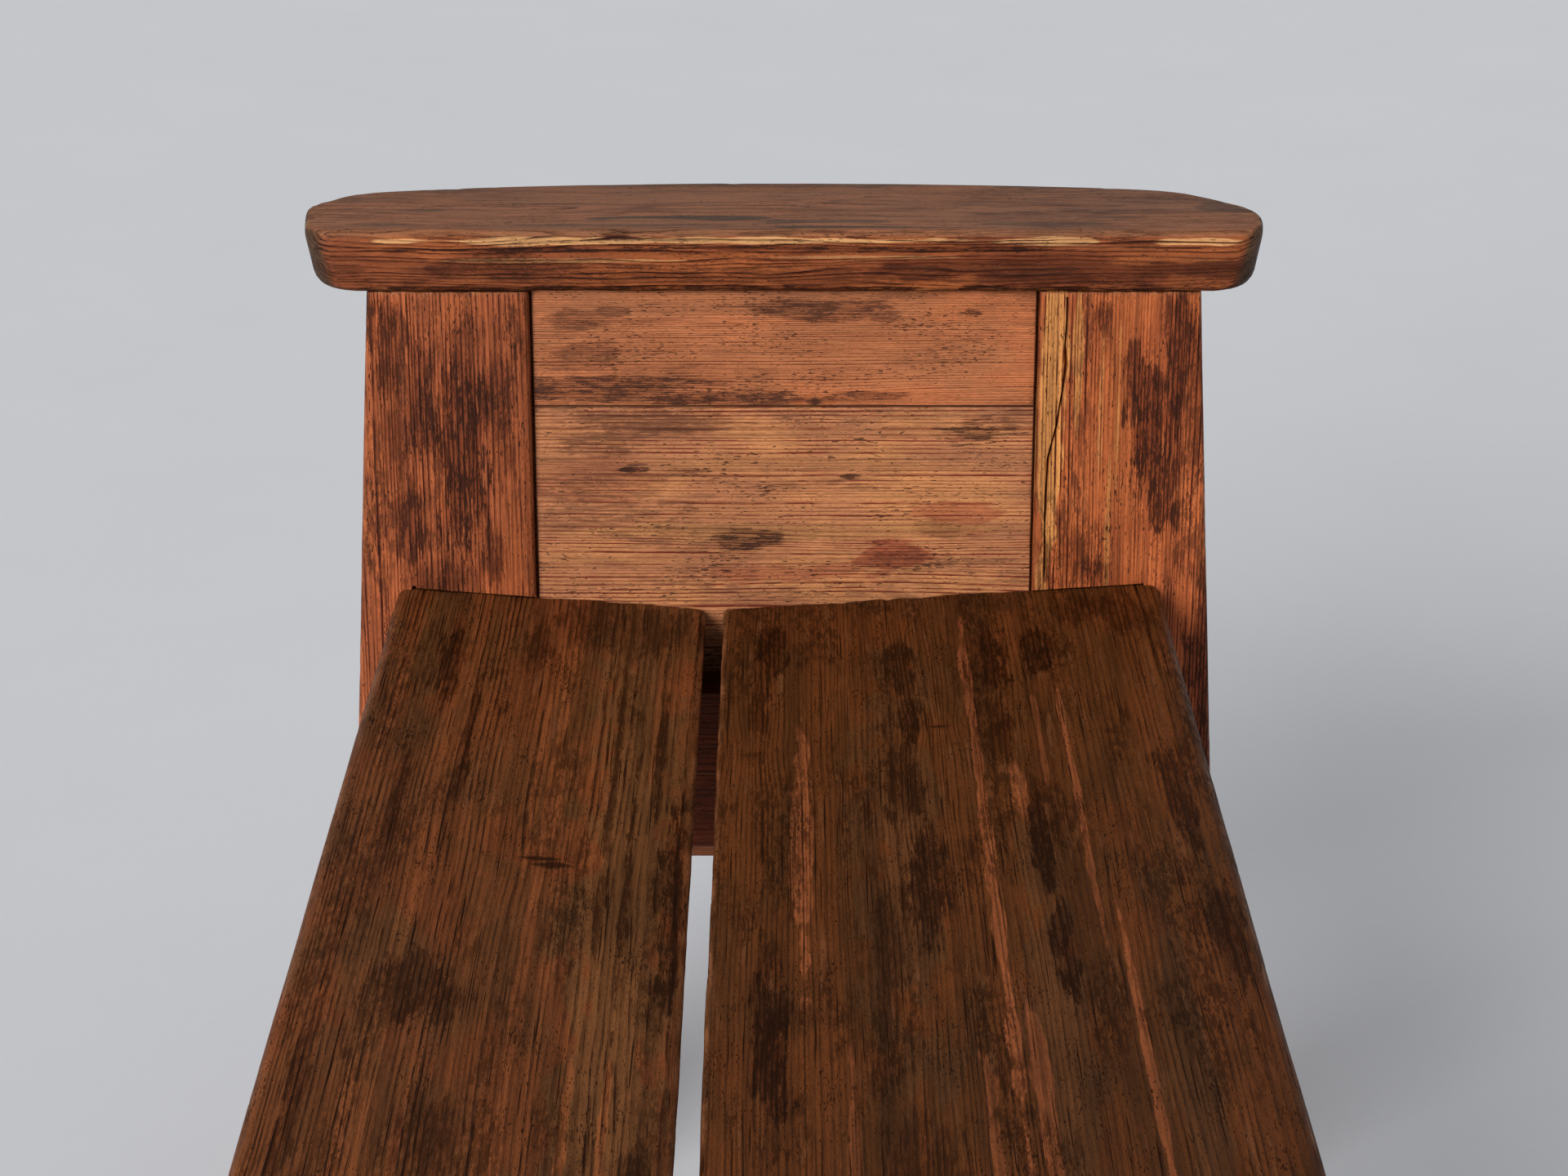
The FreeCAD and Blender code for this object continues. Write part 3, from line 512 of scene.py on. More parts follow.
def growthRings(given):
    # late wood as dark lines round the pith, each ring with a tone of its own
    width, seed = given["Ring Width"], given["Seed"]
    made = grainNoises(given["Board"], seed, rings["noises"])
    place = splitVector(given["Board"])
    across = (made["drift"] - 0.5) * given["Drift"] + (place[1] - given["Pith Across"])
    depth = place[2] - given["Pith Depth"]
    radius = calc("SQRT", depth * depth + across * across) + (made["wave"] - 0.5) * given["Wave"]
    radius = (made["shake"] - 0.5) * (width * rings["shake"]) + radius + given["Push"]
    count = radius / width
    swell = newNode("ShaderNodeTexNoise", (count + seed * rings["swellSeed"], rings["swellScale"], 1.0),
                    ("W", "Scale", "Detail"), noise_dimensions="1D")
    count = Signal(swell.outputs["Fac"]) * rings["swell"] + count
    part = calc("FRACT", count)
    chance = newNode("ShaderNodeTexWhiteNoise", (calc("FLOOR", count) + seed,), ("W",), noise_dimensions="1D")
    return {
        "Late": softStep(part, *rings["late"]) * softStep(part, *rings["lateEnd"]),
        "Ring Tone": Signal(chance.outputs["Value"]),
    }


def fibre(given):
    # the noises that every board shares, from fine fibre to slow changes of colour
    board, seed = given["Board"], given["Seed"]
    made = grainNoises(board, seed, fibres["noises"])
    made.update(grainNoises(vectorCalc("ADD", board, farAway), seed, fibres["farNoises"]))
    crust = softStep(made["crumb"] + made["flake"], *fibres["crust"])
    coarse = made["blotch"] * fibres["blotch"] + made["cloud"]
    return {
        **{label: softStep(made[name], *step) for label, (name, *step) in fibres["steps"].items()},
        "Pores": softStep(made["crowd"] * fibres["crowd"] + made["dash"], *fibres["pores"]),
        "Crust": crust, "Cloud": made["cloud"], "Band": made["band"],
        "Mottle": softStep(made["zone"], *fibres["zone"]) * crust,
        "Rag": made["stroke"] * fibres["stroke"] + (made["crumb"] * fibres["crumb"] + coarse) - fibres["rag"],
        "Soft Rag": coarse - fibres["softRag"],
    }


def stainPatch(given):
    # a soft ragged stain, an ellipse broken up by the board's rag noise
    along = (given["Along"] - given["At Along"]) / given["Half Length"]
    across = (given["Across"] - given["At Across"]) / given["Half Width"]
    reach = calc("SQRT", along * along + across * across)
    return {"Mask": softStep(given["Rag"] * patch["rag"] + reach, *patch["edge"]) * given["Strength"]}


def knot(given):
    # a knot's dark heart, a warm ring about it, and how far it pushes the grain aside
    along = (given["Along"] - given["At Along"]) / given["Half Length"]
    across = (given["Across"] - given["At Across"]) / given["Half Width"]
    squareAcross = across * across
    reach = given["Rag"] * knotShape["rag"] + (squareAcross + calc("ABSOLUTE", along))
    fade = along * along * knotShape["sweepAlong"] + squareAcross * knotShape["sweepAcross"]
    halo = softStep(reach, *knotShape["haloRise"]) * softStep(reach, *knotShape["haloEnd"])
    return {
        "Push": across * calc("EXPONENT", fade) * given["Sweep"] * -1.0,
        "Heart": softStep(reach, *knotShape["core"]) * given["Strength"],
        "Halo": halo * given["Strength"],
    }


def edgeWear(given):
    # arrises rubbed bright in places, partly real wear and partly painted sheen, and a thin dark line of old
    # dirt where boards meet
    arris = given["Arris"]
    broken = grainNoise(given["Board"], given["Seed"], *wornEdge["broken"])
    dirt = softStep(arris - arris * broken, *wornEdge["dirt"])
    joint = softStep(arris, *wornEdge["joint"]) * given["Joint Dirt"]
    return {
        "Rubbed": softStep(arris * arris * broken * given["Rub"], *wornEdge["rubbed"]),
        "Dirty Edge": largest(dirt, joint),
    }


def pineColour(given):
    # the wood's colours and the masks over them as one colour, with its roughness and relief
    late, band, cloud, streak = given["Late"], given["Band"], given["Cloud"], given["Streak"]
    tone = (given["Ring Tone"] * pine["toneGain"] + pine["toneBase"]) * given["Broken"]
    tone = tone * softStep(band, *pine["bandDark"])
    warmth = softStep(cloud, *pine["warmCloud"]) * pine["warmShare"]
    warmth = largest(warmth, softStep(band, *pine["bandGlow"]) * given["Banding"], given["Halo"])
    colour = mixColour(warmth, given["Early"], given["Warm"])
    colour = mixColour(given["Glow"], colour, given["Gold"])
    lines = calc("MULTIPLY", late * tone, given["Contrast"], clamp=True)
    colour = mixColour(lines, colour, given["Late Wood"])
    shade = streak * pine["streakGain"] + pine["streakBase"]
    shade = shade * (given["Fleck"] * pine["fleckGain"] + pine["fleckBase"])
    shade = shade * softStep(cloud, *pine["cloudShade"])
    banded = softStep(band, *pine["bandShade"]) - pine["bandMiddle"]
    shade = shade * (banded * given["Banding"] + 1.0)
    tint = newNode("ShaderNodeCombineColor", (shade,) * 3, range(3))
    colour = mixColour(1.0, colour, Signal(tint.outputs[0]), "MULTIPLY")
    # scuffs and rubbed arrises turn paler: real wear, and on the arrises also painted sheen
    rubbed = largest(given["Scuff"] * given["Scuffed"], given["Rubbed"] * pine["rubbed"])
    colour = mixColour(rubbed, colour, given["Worn"])
    # a stain soaks into the wood, and its crust lies on it in flecks
    colour = mixColour(given["Stain"] * pine["soaked"], colour, given["Soak"], "MULTIPLY")
    lined = largest(given["Crust"], late * pine["crustLate"])
    grime = largest(
        given["Stain"] * (lined * pine["crustGain"] + pine["crustBase"]), given["Dirty Edge"],
        given["Heart"] * pine["heart"], given["Mottle"] * given["Mottled"],
        given["Checks"] * given["Checked"], given["Pores"] * given["Porous"])
    rough = streak * pine["roughStreak"] + pine["rough"] + grime * pine["roughGrime"]
    height = late * pine["highLate"] + streak * pine["highStreak"] + given["Fleck"] * pine["highFleck"]
    return {
        "Color": mixColour(grime, colour, given["Grime"]),
        "Roughness": rough + given["Rubbed"] * pine["roughRubbed"],
        "Height": height + given["Pores"] * pine["highPores"] + given["Heart"] * pine["highHeart"],
    }


patchInputs = ("Along", "Across", "Rag", "At Along", "At Across", "Half Length", "Half Width", "Strength")
fibreMasks = ("Streak", "Fleck", "Pores", "Checks", "Broken", "Crust", "Cloud", "Band", "Mottle", "Scuff")
otherMasks = ("Late", "Ring Tone", "Stain", "Glow", "Rubbed", "Dirty Edge", "Heart", "Halo")
amounts = ("Contrast", "Banding", "Porous", "Checked", "Mottled", "Scuffed")
newGroup("growthRings", ("Board", "Ring Width", "Pith Across", "Pith Depth", "Drift", "Wave", "Push", "Seed"),
         growthRings)
newGroup("fibre", ("Board", "Seed"), fibre)
newGroup("stainPatch", patchInputs, stainPatch)
newGroup("knot", (*patchInputs, "Sweep"), knot)
newGroup("edgeWear", ("Board", "Arris", "Rub", "Joint Dirt", "Seed"), edgeWear)
newGroup("pineColour", (*boardColours, *fibreMasks, *otherMasks, *amounts), pineColour)
print("shared wood effects built")


def rgb(red, green, blue):
    # a colour as it looks on screen, 0 to 255, as the shader wants it
    parts = []
    for part in (red, green, blue):
        share = part / 255
        parts.append(share / 12.92 if share <= 0.04045 else ((share + 0.055) / 1.055) ** 2.4)
    return (*parts, 1.0)


def newMaterial(name, axes, sheen):
    # with its shader's inputs, and a place on the bench in mm as along, across and depth of the board
    material = bpy.data.materials.new(name)
    material.use_nodes = True
    tree = material.node_tree
    shader = tree.nodes["Principled BSDF"].inputs
    feed(shader["Specular IOR Level"], sheen)
    spot = Signal(tree.nodes.new("ShaderNodeTexCoord").outputs["Object"])
    places = splitVector(vectorCalc("MULTIPLY", spot, (1 / toMetres,) * 3))
    places = [places["XYZ".index(axis)] for axis in axes]
    board = Signal(newNode("ShaderNodeCombineXYZ", places, range(3)).outputs[0])
    return material, shader, board


def addRelief(shader, height, distance):
    bump = newNode("ShaderNodeBump", (1.0, distance, height), ("Strength", "Distance", "Height"))
    feed(shader["Normal"], Signal(bump.outputs["Normal"]))


def pineMaterial(name, look):
    material, shader, board = newMaterial(name, look["axes"], look["sheen"])
    along, across, depth = splitVector(board)
    tree, seed = board.tree, look["seed"]
    threads = useGroup(tree, "fibre", {"Board": board, "Seed": seed})
    knots = []
    for *place, sweep, dark in look.get("knots", ()):
        values = (along, across, threads["Rag"], *place, dark)
        knots.append(useGroup(tree, "knot", {**dict(zip(patchInputs, values)), "Sweep": sweep}))
    push = None
    for made in knots:
        push = push + made["Push"] if push else made["Push"]
    grown = useGroup(tree, "growthRings", {
        "Board": board, "Ring Width": look["ring"], "Pith Across": look["pith"][0],
        "Pith Depth": look["pith"][1], "Drift": look["drift"], "Wave": look["wave"],
        "Push": push, "Seed": seed})
    masks = {}
    for use in ("stains", "glows", "dulls", "topMarks"):
        rag = threads["Rag" if use == "stains" else "Soft Rag"]
        start = (along, depth if use == "topMarks" else across, rag)
        masks[use] = largest(*(
            useGroup(tree, "stainPatch", dict(zip(patchInputs, (*start, *spot))))["Mask"]
            for spot in look.get(use, ())))
    # end grain drinks more oil and stays darker
    facing = splitVector(Signal(tree.nodes.new("ShaderNodeTexCoord").outputs["Normal"]))
    turned = calc("ABSOLUTE", facing["XYZ".index(look["axes"][0])])
    endGrain = softStep(turned, *endTurn, 0.0, look["endDark"])
    arris = newNode("ShaderNodeAttribute", (), (), tree, attribute_name="arris")
    wear = useGroup(tree, "edgeWear", {
        "Board": board, "Arris": Signal(arris.outputs["Fac"]), "Rub": look["rub"],
        "Joint Dirt": look["jointDirt"], "Seed": seed})
    early, warm = (mixColour(masks["dulls"], look[key], look["dull"]) for key in ("early", "warm"))
    contrast = look["contrast"]
    # an upper face gets paler, greyer, lower-contrast colours of its own: partly dust, partly painted sheen
    if "top" in look:
        upper = softStep(across, *look["topFrom"])
        early, warm = (mixColour(upper, side, mixColour(masks["topMarks"], look[key], look["topMark"]))
                       for side, key in ((early, "top"), (warm, "topWarm")))
        contrast = softStep(across, *look["topFrom"], contrast, look["topContrast"])
    finish = useGroup(tree, "pineColour", {
        "Early": mixColour(endGrain, early, look["end"]), "Warm": mixColour(endGrain, warm, look["end"]),
        "Late Wood": look["late"], **{label: look[label.lower()] for label in boardColours[3:]},
        **{label: threads[label] for label in fibreMasks}, **grown, **wear,
        "Stain": masks["stains"], "Glow": masks["glows"],
        **{label: largest(*(made[label] for made in knots)) for label in ("Heart", "Halo")},
        **{label: look[label.lower()] for label in amounts[1:]}, "Contrast": contrast})
    feed(shader["Base Color"], finish["Color"])
    feed(shader["Roughness"], finish["Roughness"])
    addRelief(shader, finish["Height"], look["relief"])
    return material


def look(base, **changes):
    # stains, glows, dulls and topMarks are spots of (along, across, half length, half width, strength),
    # and knots have how far they sweep the grain before their strength
    return {**base, **changes}


def newBoard(shape, node, slot, seed, grain, look, **form):
    # a board's roundings, grid step and wear are those of its kind
    kept = {key: shape[key] for key in ("rounds", "endRounds", "step") if key in shape}
    return {**kept, "wear": {**shape["wear"], "seed": seed}, "node": node, "slot": slot,
            "material": pineMaterial(grain + "Pine", look), **form}


# Posts

postLook = {
    "axes": "ZYX", "seed": 1.3, "ring": 2.0, "pith": (-60, -760), "drift": 9, "wave": 1.1,
    "early": rgb(160, 85, 50), "late": rgb(70, 24, 10), "warm": rgb(166, 88, 48), "gold": rgb(206, 138, 72),
    "dull": rgb(120, 74, 48), "end": rgb(72, 40, 22),
    "soak": rgb(160, 130, 116), "grime": rgb(33, 13, 5), "worn": rgb(172, 106, 66),
    "contrast": 1.15, "banding": 0.3, "porous": 0.9, "checked": 0.6, "mottled": 0.6, "scuffed": 0.3,
    "endDark": 0.7, "rub": 1.0, "jointDirt": 0.0, "relief": 0.0003, "sheen": 0.15,
}
leftFrontPostLook = look(
    postLook,
    stains=[(512, -192.7, 66, 19, 1.0), (474, -222, 34, 11, 0.9), (449, -172, 26, 9, 0.7),
            (540, -166, 46, 8, 0.7), (585, -228.6, 34, 14, 0.8), (600, -241, 26, 6, 0.9),
            (556, -212, 34, 9, 0.7), (585, -186, 30, 10, 0.5), (438, -205, 14, 30, 0.5),
            (520, -230, 30, 8, 0.5)],
)
leftRearPostLook = look(
    postLook, seed=4.7, ring=2.3, pith=(420, -650), early=rgb(172, 88, 48), late=rgb(76, 24, 9),
    warm=rgb(186, 102, 54), gold=rgb(216, 144, 80), contrast=1.25,
    glows=[(570, 158, 70, 7, 1.0), (500, 157, 80, 8, 1.0), (450, 155, 40, 5, 0.8),
           (535, 186, 60, 2, 0.6), (480, 192, 50, 2, 0.5), (575, 172, 50, 3, 0.7),
           (545, 196, 70, 1.5, 0.5)],
    stains=[(552, 205, 34, 9, 0.9), (528, 214, 46, 15, 1.0), (500, 222, 34, 11, 0.9),
            (478, 232, 14, 5, 0.9), (590, 232, 28, 9, 0.9), (604, 186, 12, 6, 0.7),
            (446, 182, 8, 10, 0.9), (456, 176, 22, 12, 0.6), (560, 243, 50, 5, 0.6),
            # the last spot, on the post beside and below the seat board, is painted shadow: the seat board's
            # shadow on the post
            (370, 254, 70, 15, 0.9)],
)


def seatTop(row, across, lift=0.0):
    seat = seatRows[row]
    rise = math.radians(seat["slope"])
    out = seat["hand"] * (across - seat["gapEdge"])
    return bench["gapHeight"] + lift / math.cos(rise) + out * math.tan(rise)


def seatPoint(row, out, up):
    # a place on a seat board's section, from its top edge at the gap
    seat = seatRows[row]
    rise = math.radians(seat["slope"])
    across = seat["gapEdge"] + seat["hand"] * (out * math.cos(rise) - up * math.sin(rise))
    return across, bench["gapHeight"] + out * math.sin(rise) + up * math.cos(rise)


post = {
    "foot": 278, "top": 242.5, "thickness": 45, "rounds": (3, 3, 3, 3), "endRounds": (2, 0.4), "step": 3.2,
    "groove": (11.7, 22.3), "grooveEnd": 161.5, "grooveBottom": 255, "notchDeep": 6, "notchRoom": 1.2,
    "notchInset": 7, "dowelPlaces": ((22.5, 172.5), (22.5, 218.5)), "dowelBottom": 579, "dowelBore": 6.1,
    "screwPlaces": ((309.5, 183.2), (351.5, 183.2)), "screwBore": 2.6, "screwSides": 12, "screwDeep": 29.1,
    "sawSlip": ((430, 219.6), (434.4, 219.8), (434.8, 222), (431, 223)), "slipDeep": 8,
    "wear": {"arrisReach": 7, "wave": 0.3, "rub": 0.8, "nick": 2.2},
}
crack = {
    "path": ((613, 164.4, 0.6), (598, 164.6, 0.7), (584, 164.0, 0.7), (572, 164.7, 1.7), (565, 164.2, 1.2),
             (556, 163.1, 0.8), (545, 161.5, 0.7), (534, 160.2, 1.0), (524, 157.7, 0.8), (514, 155.7, 1.2),
             (500, 155.2, 0.8), (486, 154.9, 1.1), (470, 154.7, 0.7), (458, 155.3, 1.0), (446, 155.4, 0.7),
             (435, 155.1, 0.3)),
    "deep": 7, "proud": 1.5, "lean": 0.3, "least": 0.35,
}


def makePost(end, row, look):
    side, seat = ends[end], seatRows[row]
    hand, inner, top = seat["hand"], bench["postInner"], bench["armUnderside"]
    board = newBoard(
        post, "%s_%s_post" % (end, row), "post_pine", 3 * side + hand, "%s%sPost" % (end, row.capitalize()),
        look, along=(0, top), depth=(0, post["thickness"]),
        edges=lambda place: (inner, post["foot"] + (post["top"] - post["foot"]) * (place / top)),
        origin=(side * bench["halfClear"], 0, 0), basis=((0, 0, 1), (0, hand, 0), (side, 0, 0)))
    notch = []
    for up, turned in ((post["notchRoom"], False), (-bench["seatThickness"], True)):
        across, height = seatPoint(row, seat["width"] - post["notchInset"], up)
        near = inner - beyond
        line = [(seatTop(row, hand * near, up), near), (height, hand * across)]
        notch += reversed(line) if turned else line
    groove = (post["grooveBottom"], top + beyond), (inner - beyond, post["grooveEnd"])
    cuts = [slabTool(*groove, 2, *post["groove"]), prismTool(notch, 2, -beyond, post["notchDeep"])]
    for depth, across in post["dowelPlaces"]:
        bore = roundOutline(across, depth, post["dowelBore"])
        cuts.append(prismTool(bore, 0, post["dowelBottom"], top + beyond))
    for height, across in post["screwPlaces"]:
        bore = roundOutline(height, across, post["screwBore"], post["screwSides"])
        cuts.append(prismTool(bore, 2, -beyond, post["screwDeep"]))
    slips = []
    if (end, row) == ("left", "rear"):
        cuts.append(crackTool(crack))
    if (end, row) == ("left", "front"):
        slips.append(prismTool(post["sawSlip"], 2, -beyond, post["slipDeep"]))
    layBoard(board, cuts, (), slips)


postLooks = {
    ("left", "front"): leftFrontPostLook,
    ("left", "rear"): leftRearPostLook,
    ("right", "front"): look(
        postLook, seed=7.9, pith=(-400, 690),
        stains=[(470, -215, 60, 12, 0.8), (560, -170, 30, 8, 0.6), (120, -240, 70, 20, 0.6)]),
    ("right", "rear"): look(
        postLook, seed=9.4, pith=(70, 770),
        stains=[(500, 190, 50, 10, 0.8), (300, 230, 70, 12, 0.6), (80, 200, 60, 25, 0.6)]),
}
for (end, row), made in postLooks.items():
    makePost(end, row, made)
print("posts done")


# Panel boards

panel = {
    "half": 147.3, "tongueHalf": 160.5, "depth": (6, 28), "tongue": (12, 22), "tongueRise": 9,
    "tongueRoom": 0.3, "tipRoom": 1, "rounds": (0.8, 0.8, 0.8, 0.8), "endRounds": (0.6, 0.6), "step": 3.6,
    "levels": {"lower": (255, 361), "middle": (361, 545), "upper": (545, 616)},
    "wear": {"arrisReach": 2.5, "wave": 0.22, "rub": 0.5, "nick": 0.8},
}
panelLook = {
    "axes": "YZX", "seed": 2.2, "ring": 1.3, "pith": (1100, -690), "drift": 7, "wave": 0.9,
    "early": rgb(184, 114, 74), "late": rgb(100, 42, 23), "warm": rgb(176, 98, 56), "gold": rgb(196, 138, 84),
    "dull": rgb(150, 92, 58), "end": rgb(90, 54, 34),
    "soak": rgb(186, 166, 156), "grime": rgb(38, 21, 16), "worn": rgb(182, 120, 78),
    "contrast": 0.9, "banding": 0.25, "porous": 0.85, "checked": 0.4, "mottled": 0.35, "scuffed": 0.35,
    "endDark": 0.5, "rub": 0.6, "jointDirt": 0.9, "relief": 0.00025, "sheen": 0.15,
}
upperLook = look(
    panelLook, ring=1.35,
    knots=[(18.3, 547.5, 8, 4.5, 4, 1.0)],
    stains=[(-110, 555, 74, 8, 0.9), (20, 604, 45, 7, 0.8), (-40, 550, 60, 5, 0.9),
            (60, 551, 40, 3.5, 0.8), (-124, 596, 16, 7, 0.6), (-100, 603, 10, 4, 0.5),
            (110, 602, 8, 3, 0.8), (60, 600, 12, 4, 0.6), (-118, 575, 22, 9, 0.5), (18, 549, 34, 3, 0.8)],
)
middleLook = look(
    panelLook, seed=5.1, ring=2.5, early=rgb(184, 120, 82), late=rgb(110, 40, 24), warm=rgb(190, 130, 78),
    knots=[(68, 449, 14, 9, 4, 0.0)], contrast=1.2,
    glows=[(-30, 466, 120, 5, 0.5), (80, 470, 60, 4, 0.4)], dull=rgb(150, 76, 50),
    dulls=[(105, 478, 34, 12, 0.6), (66, 450, 26, 14, 0.8), (-120, 500, 60, 14, 0.3),
           (10, 440, 60, 8, 0.5)],
    stains=[(-87, 506, 10, 4, 1.0), (116, 528, 22, 10, 0.9), (-24, 462, 18, 6, 0.95),
            (40, 501, 10, 4, 0.9), (-70, 536, 66, 7, 0.55), (70, 447, 26, 13, 0.45),
            (-108, 522, 26, 8, 0.5), (90, 470, 20, 7, 0.4), (-60, 505, 22, 2, 0.5)],
)
panelLooks = {
    ("left", "upper"): upperLook,
    ("right", "upper"): look(
        panelLook, seed=12.4, ring=1.5, stains=[(-40, 590, 50, 9, 0.5), (90, 560, 30, 6, 0.6)]),
    ("left", "middle"): middleLook,
    ("right", "middle"): look(
        panelLook, seed=15.2, ring=2.6, early=rgb(170, 108, 70),
        knots=[(-60, 480, 7, 5, 4, 0.9)], stains=[(60, 520, 40, 8, 0.5), (-90, 420, 26, 9, 0.5)]),
    ("left", "lower"): look(panelLook, seed=8.6, ring=1.8, early=rgb(134, 77, 47)),
    ("right", "lower"): look(panelLook, seed=18.9, ring=2.0, early=rgb(156, 94, 62)),
}


def makePanelBoard(end, level, look):
    side = ends[end]
    bottom, top = panel["levels"][level]
    board = newBoard(
        panel, "%s_%s_panel_board" % (end, level), "panel_pine", 11 * side + bottom / 90,
        "%s%sPanel" % (end, level.capitalize()), look, along=(-panel["half"], panel["half"]),
        edges=lambda place: (bottom, top), depth=panel["depth"],
        origin=(side * bench["halfClear"], 0, 0), basis=((0, 1, 0), (0, 0, 1), (side, 0, 0)))
    half, rise, room = panel["tongueHalf"], panel["tongueRise"], panel["tongueRoom"]
    cuts, tongueBottom = [], bottom
    if level != "lower":
        tongueBottom = bottom + rise + panel["tipRoom"]
        cuts.append(slabTool((-half - beyond, half + beyond), (bottom - beyond, tongueBottom), 2,
                             panel["tongue"][0] - room, panel["tongue"][1] + room))
    layBoard(board, cuts, [slabTool((-half, half), (tongueBottom, top + rise), 2, *panel["tongue"])])


for (end, level), made in panelLooks.items():
    makePanelBoard(end, level, made)
print("panel boards done")


# Arms

arm = {
    "inner": 637, "depth": 115, "endDepth": 90, "half": 277, "thickness": 36, "tuck": 7, "outerLift": 1.8,
    "outerRound": {-1: 36, 1: 60}, "bulge": 6, "endFall": {-1: 4, 1: 3}, "fallReach": 130, "endRound": 10,
    "innerRound": 15, "topRound": 7, "bottomRound": 3.5, "farSharper": 0.5, "step": 3.2, "leastStep": 0.6,
    "outerLines": 6, "innerLines": 4, "bottomTurns": range(0, 90, 18), "topTurns": range(75, -1, -15),
    "dowelDeep": 23, "wear": {"arrisReach": 9, "wave": 0.45, "rub": 1.2, "nick": 3.0},
}
armLook = {
    "axes": "YZX", "seed": 6.3, "ring": 2.0, "pith": (560, -700), "drift": 14, "wave": 9.0,
    # gold here is mostly the colour of the painted highlight along the upper front arris
    "early": rgb(136, 72, 42), "late": rgb(50, 13, 4), "warm": rgb(152, 84, 43), "gold": rgb(202, 148, 96),
    # top and topWarm, paler and greyer than the front, are partly dust and partly painted sheen
    "top": rgb(148, 97, 68), "topWarm": rgb(142, 86, 55), "topFrom": (648.4, 649.6), "topContrast": 0.7,
    "topMark": rgb(80, 60, 44), "dull": rgb(102, 50, 29), "end": rgb(82, 60, 42),
    "soak": rgb(140, 104, 88), "grime": rgb(34, 15, 6), "worn": rgb(190, 126, 78),
    "contrast": 1.2, "banding": 0.3, "porous": 0.7, "checked": 0.5, "mottled": 0.3, "scuffed": 0.15,
    "endDark": 1.0, "rub": 1.0, "jointDirt": 0.0, "relief": 0.0003, "sheen": 0.12,
}


def bowDepth(along):
    # the bowed outer edge, as a shallow arc through its crown and its two ends
    drop = arm["depth"] - arm["endDepth"]
    radius = (arm["half"] ** 2 + drop ** 2) / (2 * drop)
    beyondStart = np.maximum(0, np.abs(along) - arm["half"] + arm["fallReach"]) / arm["fallReach"]
    fallen = np.where(along < 0, arm["endFall"][-1], arm["endFall"][1]) * beyondStart ** 2
    return arm["depth"] - radius + np.sqrt(radius ** 2 - along ** 2) - fallen


def rimRound(radius, turn):
    angle = math.radians(turn)
    return radius * (1 - math.cos(angle)), radius * (1 - math.sin(angle))


def armMesh(board):
    # the arm as layers of one plan, from its lower face up to its upper
    half, step, thick = arm["half"], arm["step"], arm["thickness"]
    outer, inner = arm["outerRound"], arm["innerRound"]
    outerMarks = roundOffsets(*outer.values(), count=arm["outerLines"])
    innerMarks = roundOffsets(inner, count=arm["innerLines"])
    marks = sorted(set(outerMarks) | set(innerMarks))
    ending = [marks[0]] + [mark for near, mark in zip(marks, marks[1:]) if mark - near > arm["leastStep"]]
    alongPlaces = [-half + mark for mark in ending]
    alongPlaces += spread(-half + ending[-1], half - ending[-1], step)[1:-1]
    alongPlaces += [half - mark for mark in reversed(ending)]
    lines = sideLines(innerMarks, outerMarks, arm["depth"], step)
    along, column = np.meshgrid(np.array(alongPlaces), np.arange(len(lines)), indexing="ij")
    bow = bowDepth(along)
    across = (1 - lines[column, 0]) * bow + lines[column, 1]
    outAcross = across - bow
    for endSign in (-1, 1):
        across, along = roundCorner(across, along, 0.0, endSign * half, inner, -1, endSign)
    for endSign in (-1, 1):
        moved, along = roundCorner(outAcross, along, 0.0, endSign * half, outer[endSign], 1, endSign)
        across = across + (moved - outAcross)
        outAcross = moved

    def layer(cells, height, drawn):
        i, j = np.array(cells).T
        placeAlong, placeAcross = along[i, j], across[i, j]
        middle = bowDepth(placeAlong) / 2
        low = max(0.0, 1 - height / arm["endRound"])
        tuck = arm["tuck"] * (1 - height / thick) + arm["endRound"] * (1 - math.sqrt(1 - low ** 2))
        sharper = np.where(placeAcross > middle, arm["farSharper"], 1.0)
        swell = 1 + arm["bulge"] / half * np.sin(np.pi * np.clip(placeAcross / arm["depth"], 0, 1))
        newAlong = placeAlong * (1 - arm["farSharper"] * drawn / half) * (1 - tuck / half) * swell
        newAcross = middle + (placeAcross - middle) * (1 - sharper * drawn / middle)
        lift = arm["outerLift"] * height / thick * newAcross / arm["depth"]
        return np.column_stack([newAlong, newAcross, height + lift])

    rims = [rimRound(arm["bottomRound"], turn) for turn in arm["bottomTurns"]]
    rims += [(height, 0.0) for height in spread(arm["bottomRound"], thick - arm["topRound"], step)]
    topRims = [rimRound(arm["topRound"], turn) for turn in arm["topTurns"]]
    rims += [(thick - height, drawn) for height, drawn in topRims]
    return cellGrid(*along.shape, rims, layer)


def armNearness(board, points):
    along, across, height = points.T
    toBow = bowDepth(np.clip(along, -arm["half"], arm["half"])) - across
    toEnd = arm["half"] - np.abs(along)
    corners = np.where(along < 0, arm["outerRound"][-1], arm["outerRound"][1])
    outAlong, outAcross = np.maximum(0, corners - toEnd), np.maximum(0, corners - toBow)
    inCorner = (outAlong > 0) & (outAcross > 0)
    toSide = np.minimum(np.minimum(across, toBow), toEnd)
    toRim = np.where(inCorner, corners - np.hypot(outAlong, outAcross), toSide)
    toFace = np.minimum(height, arm["thickness"] - height)
    return np.maximum(np.abs(toRim), np.abs(toFace))


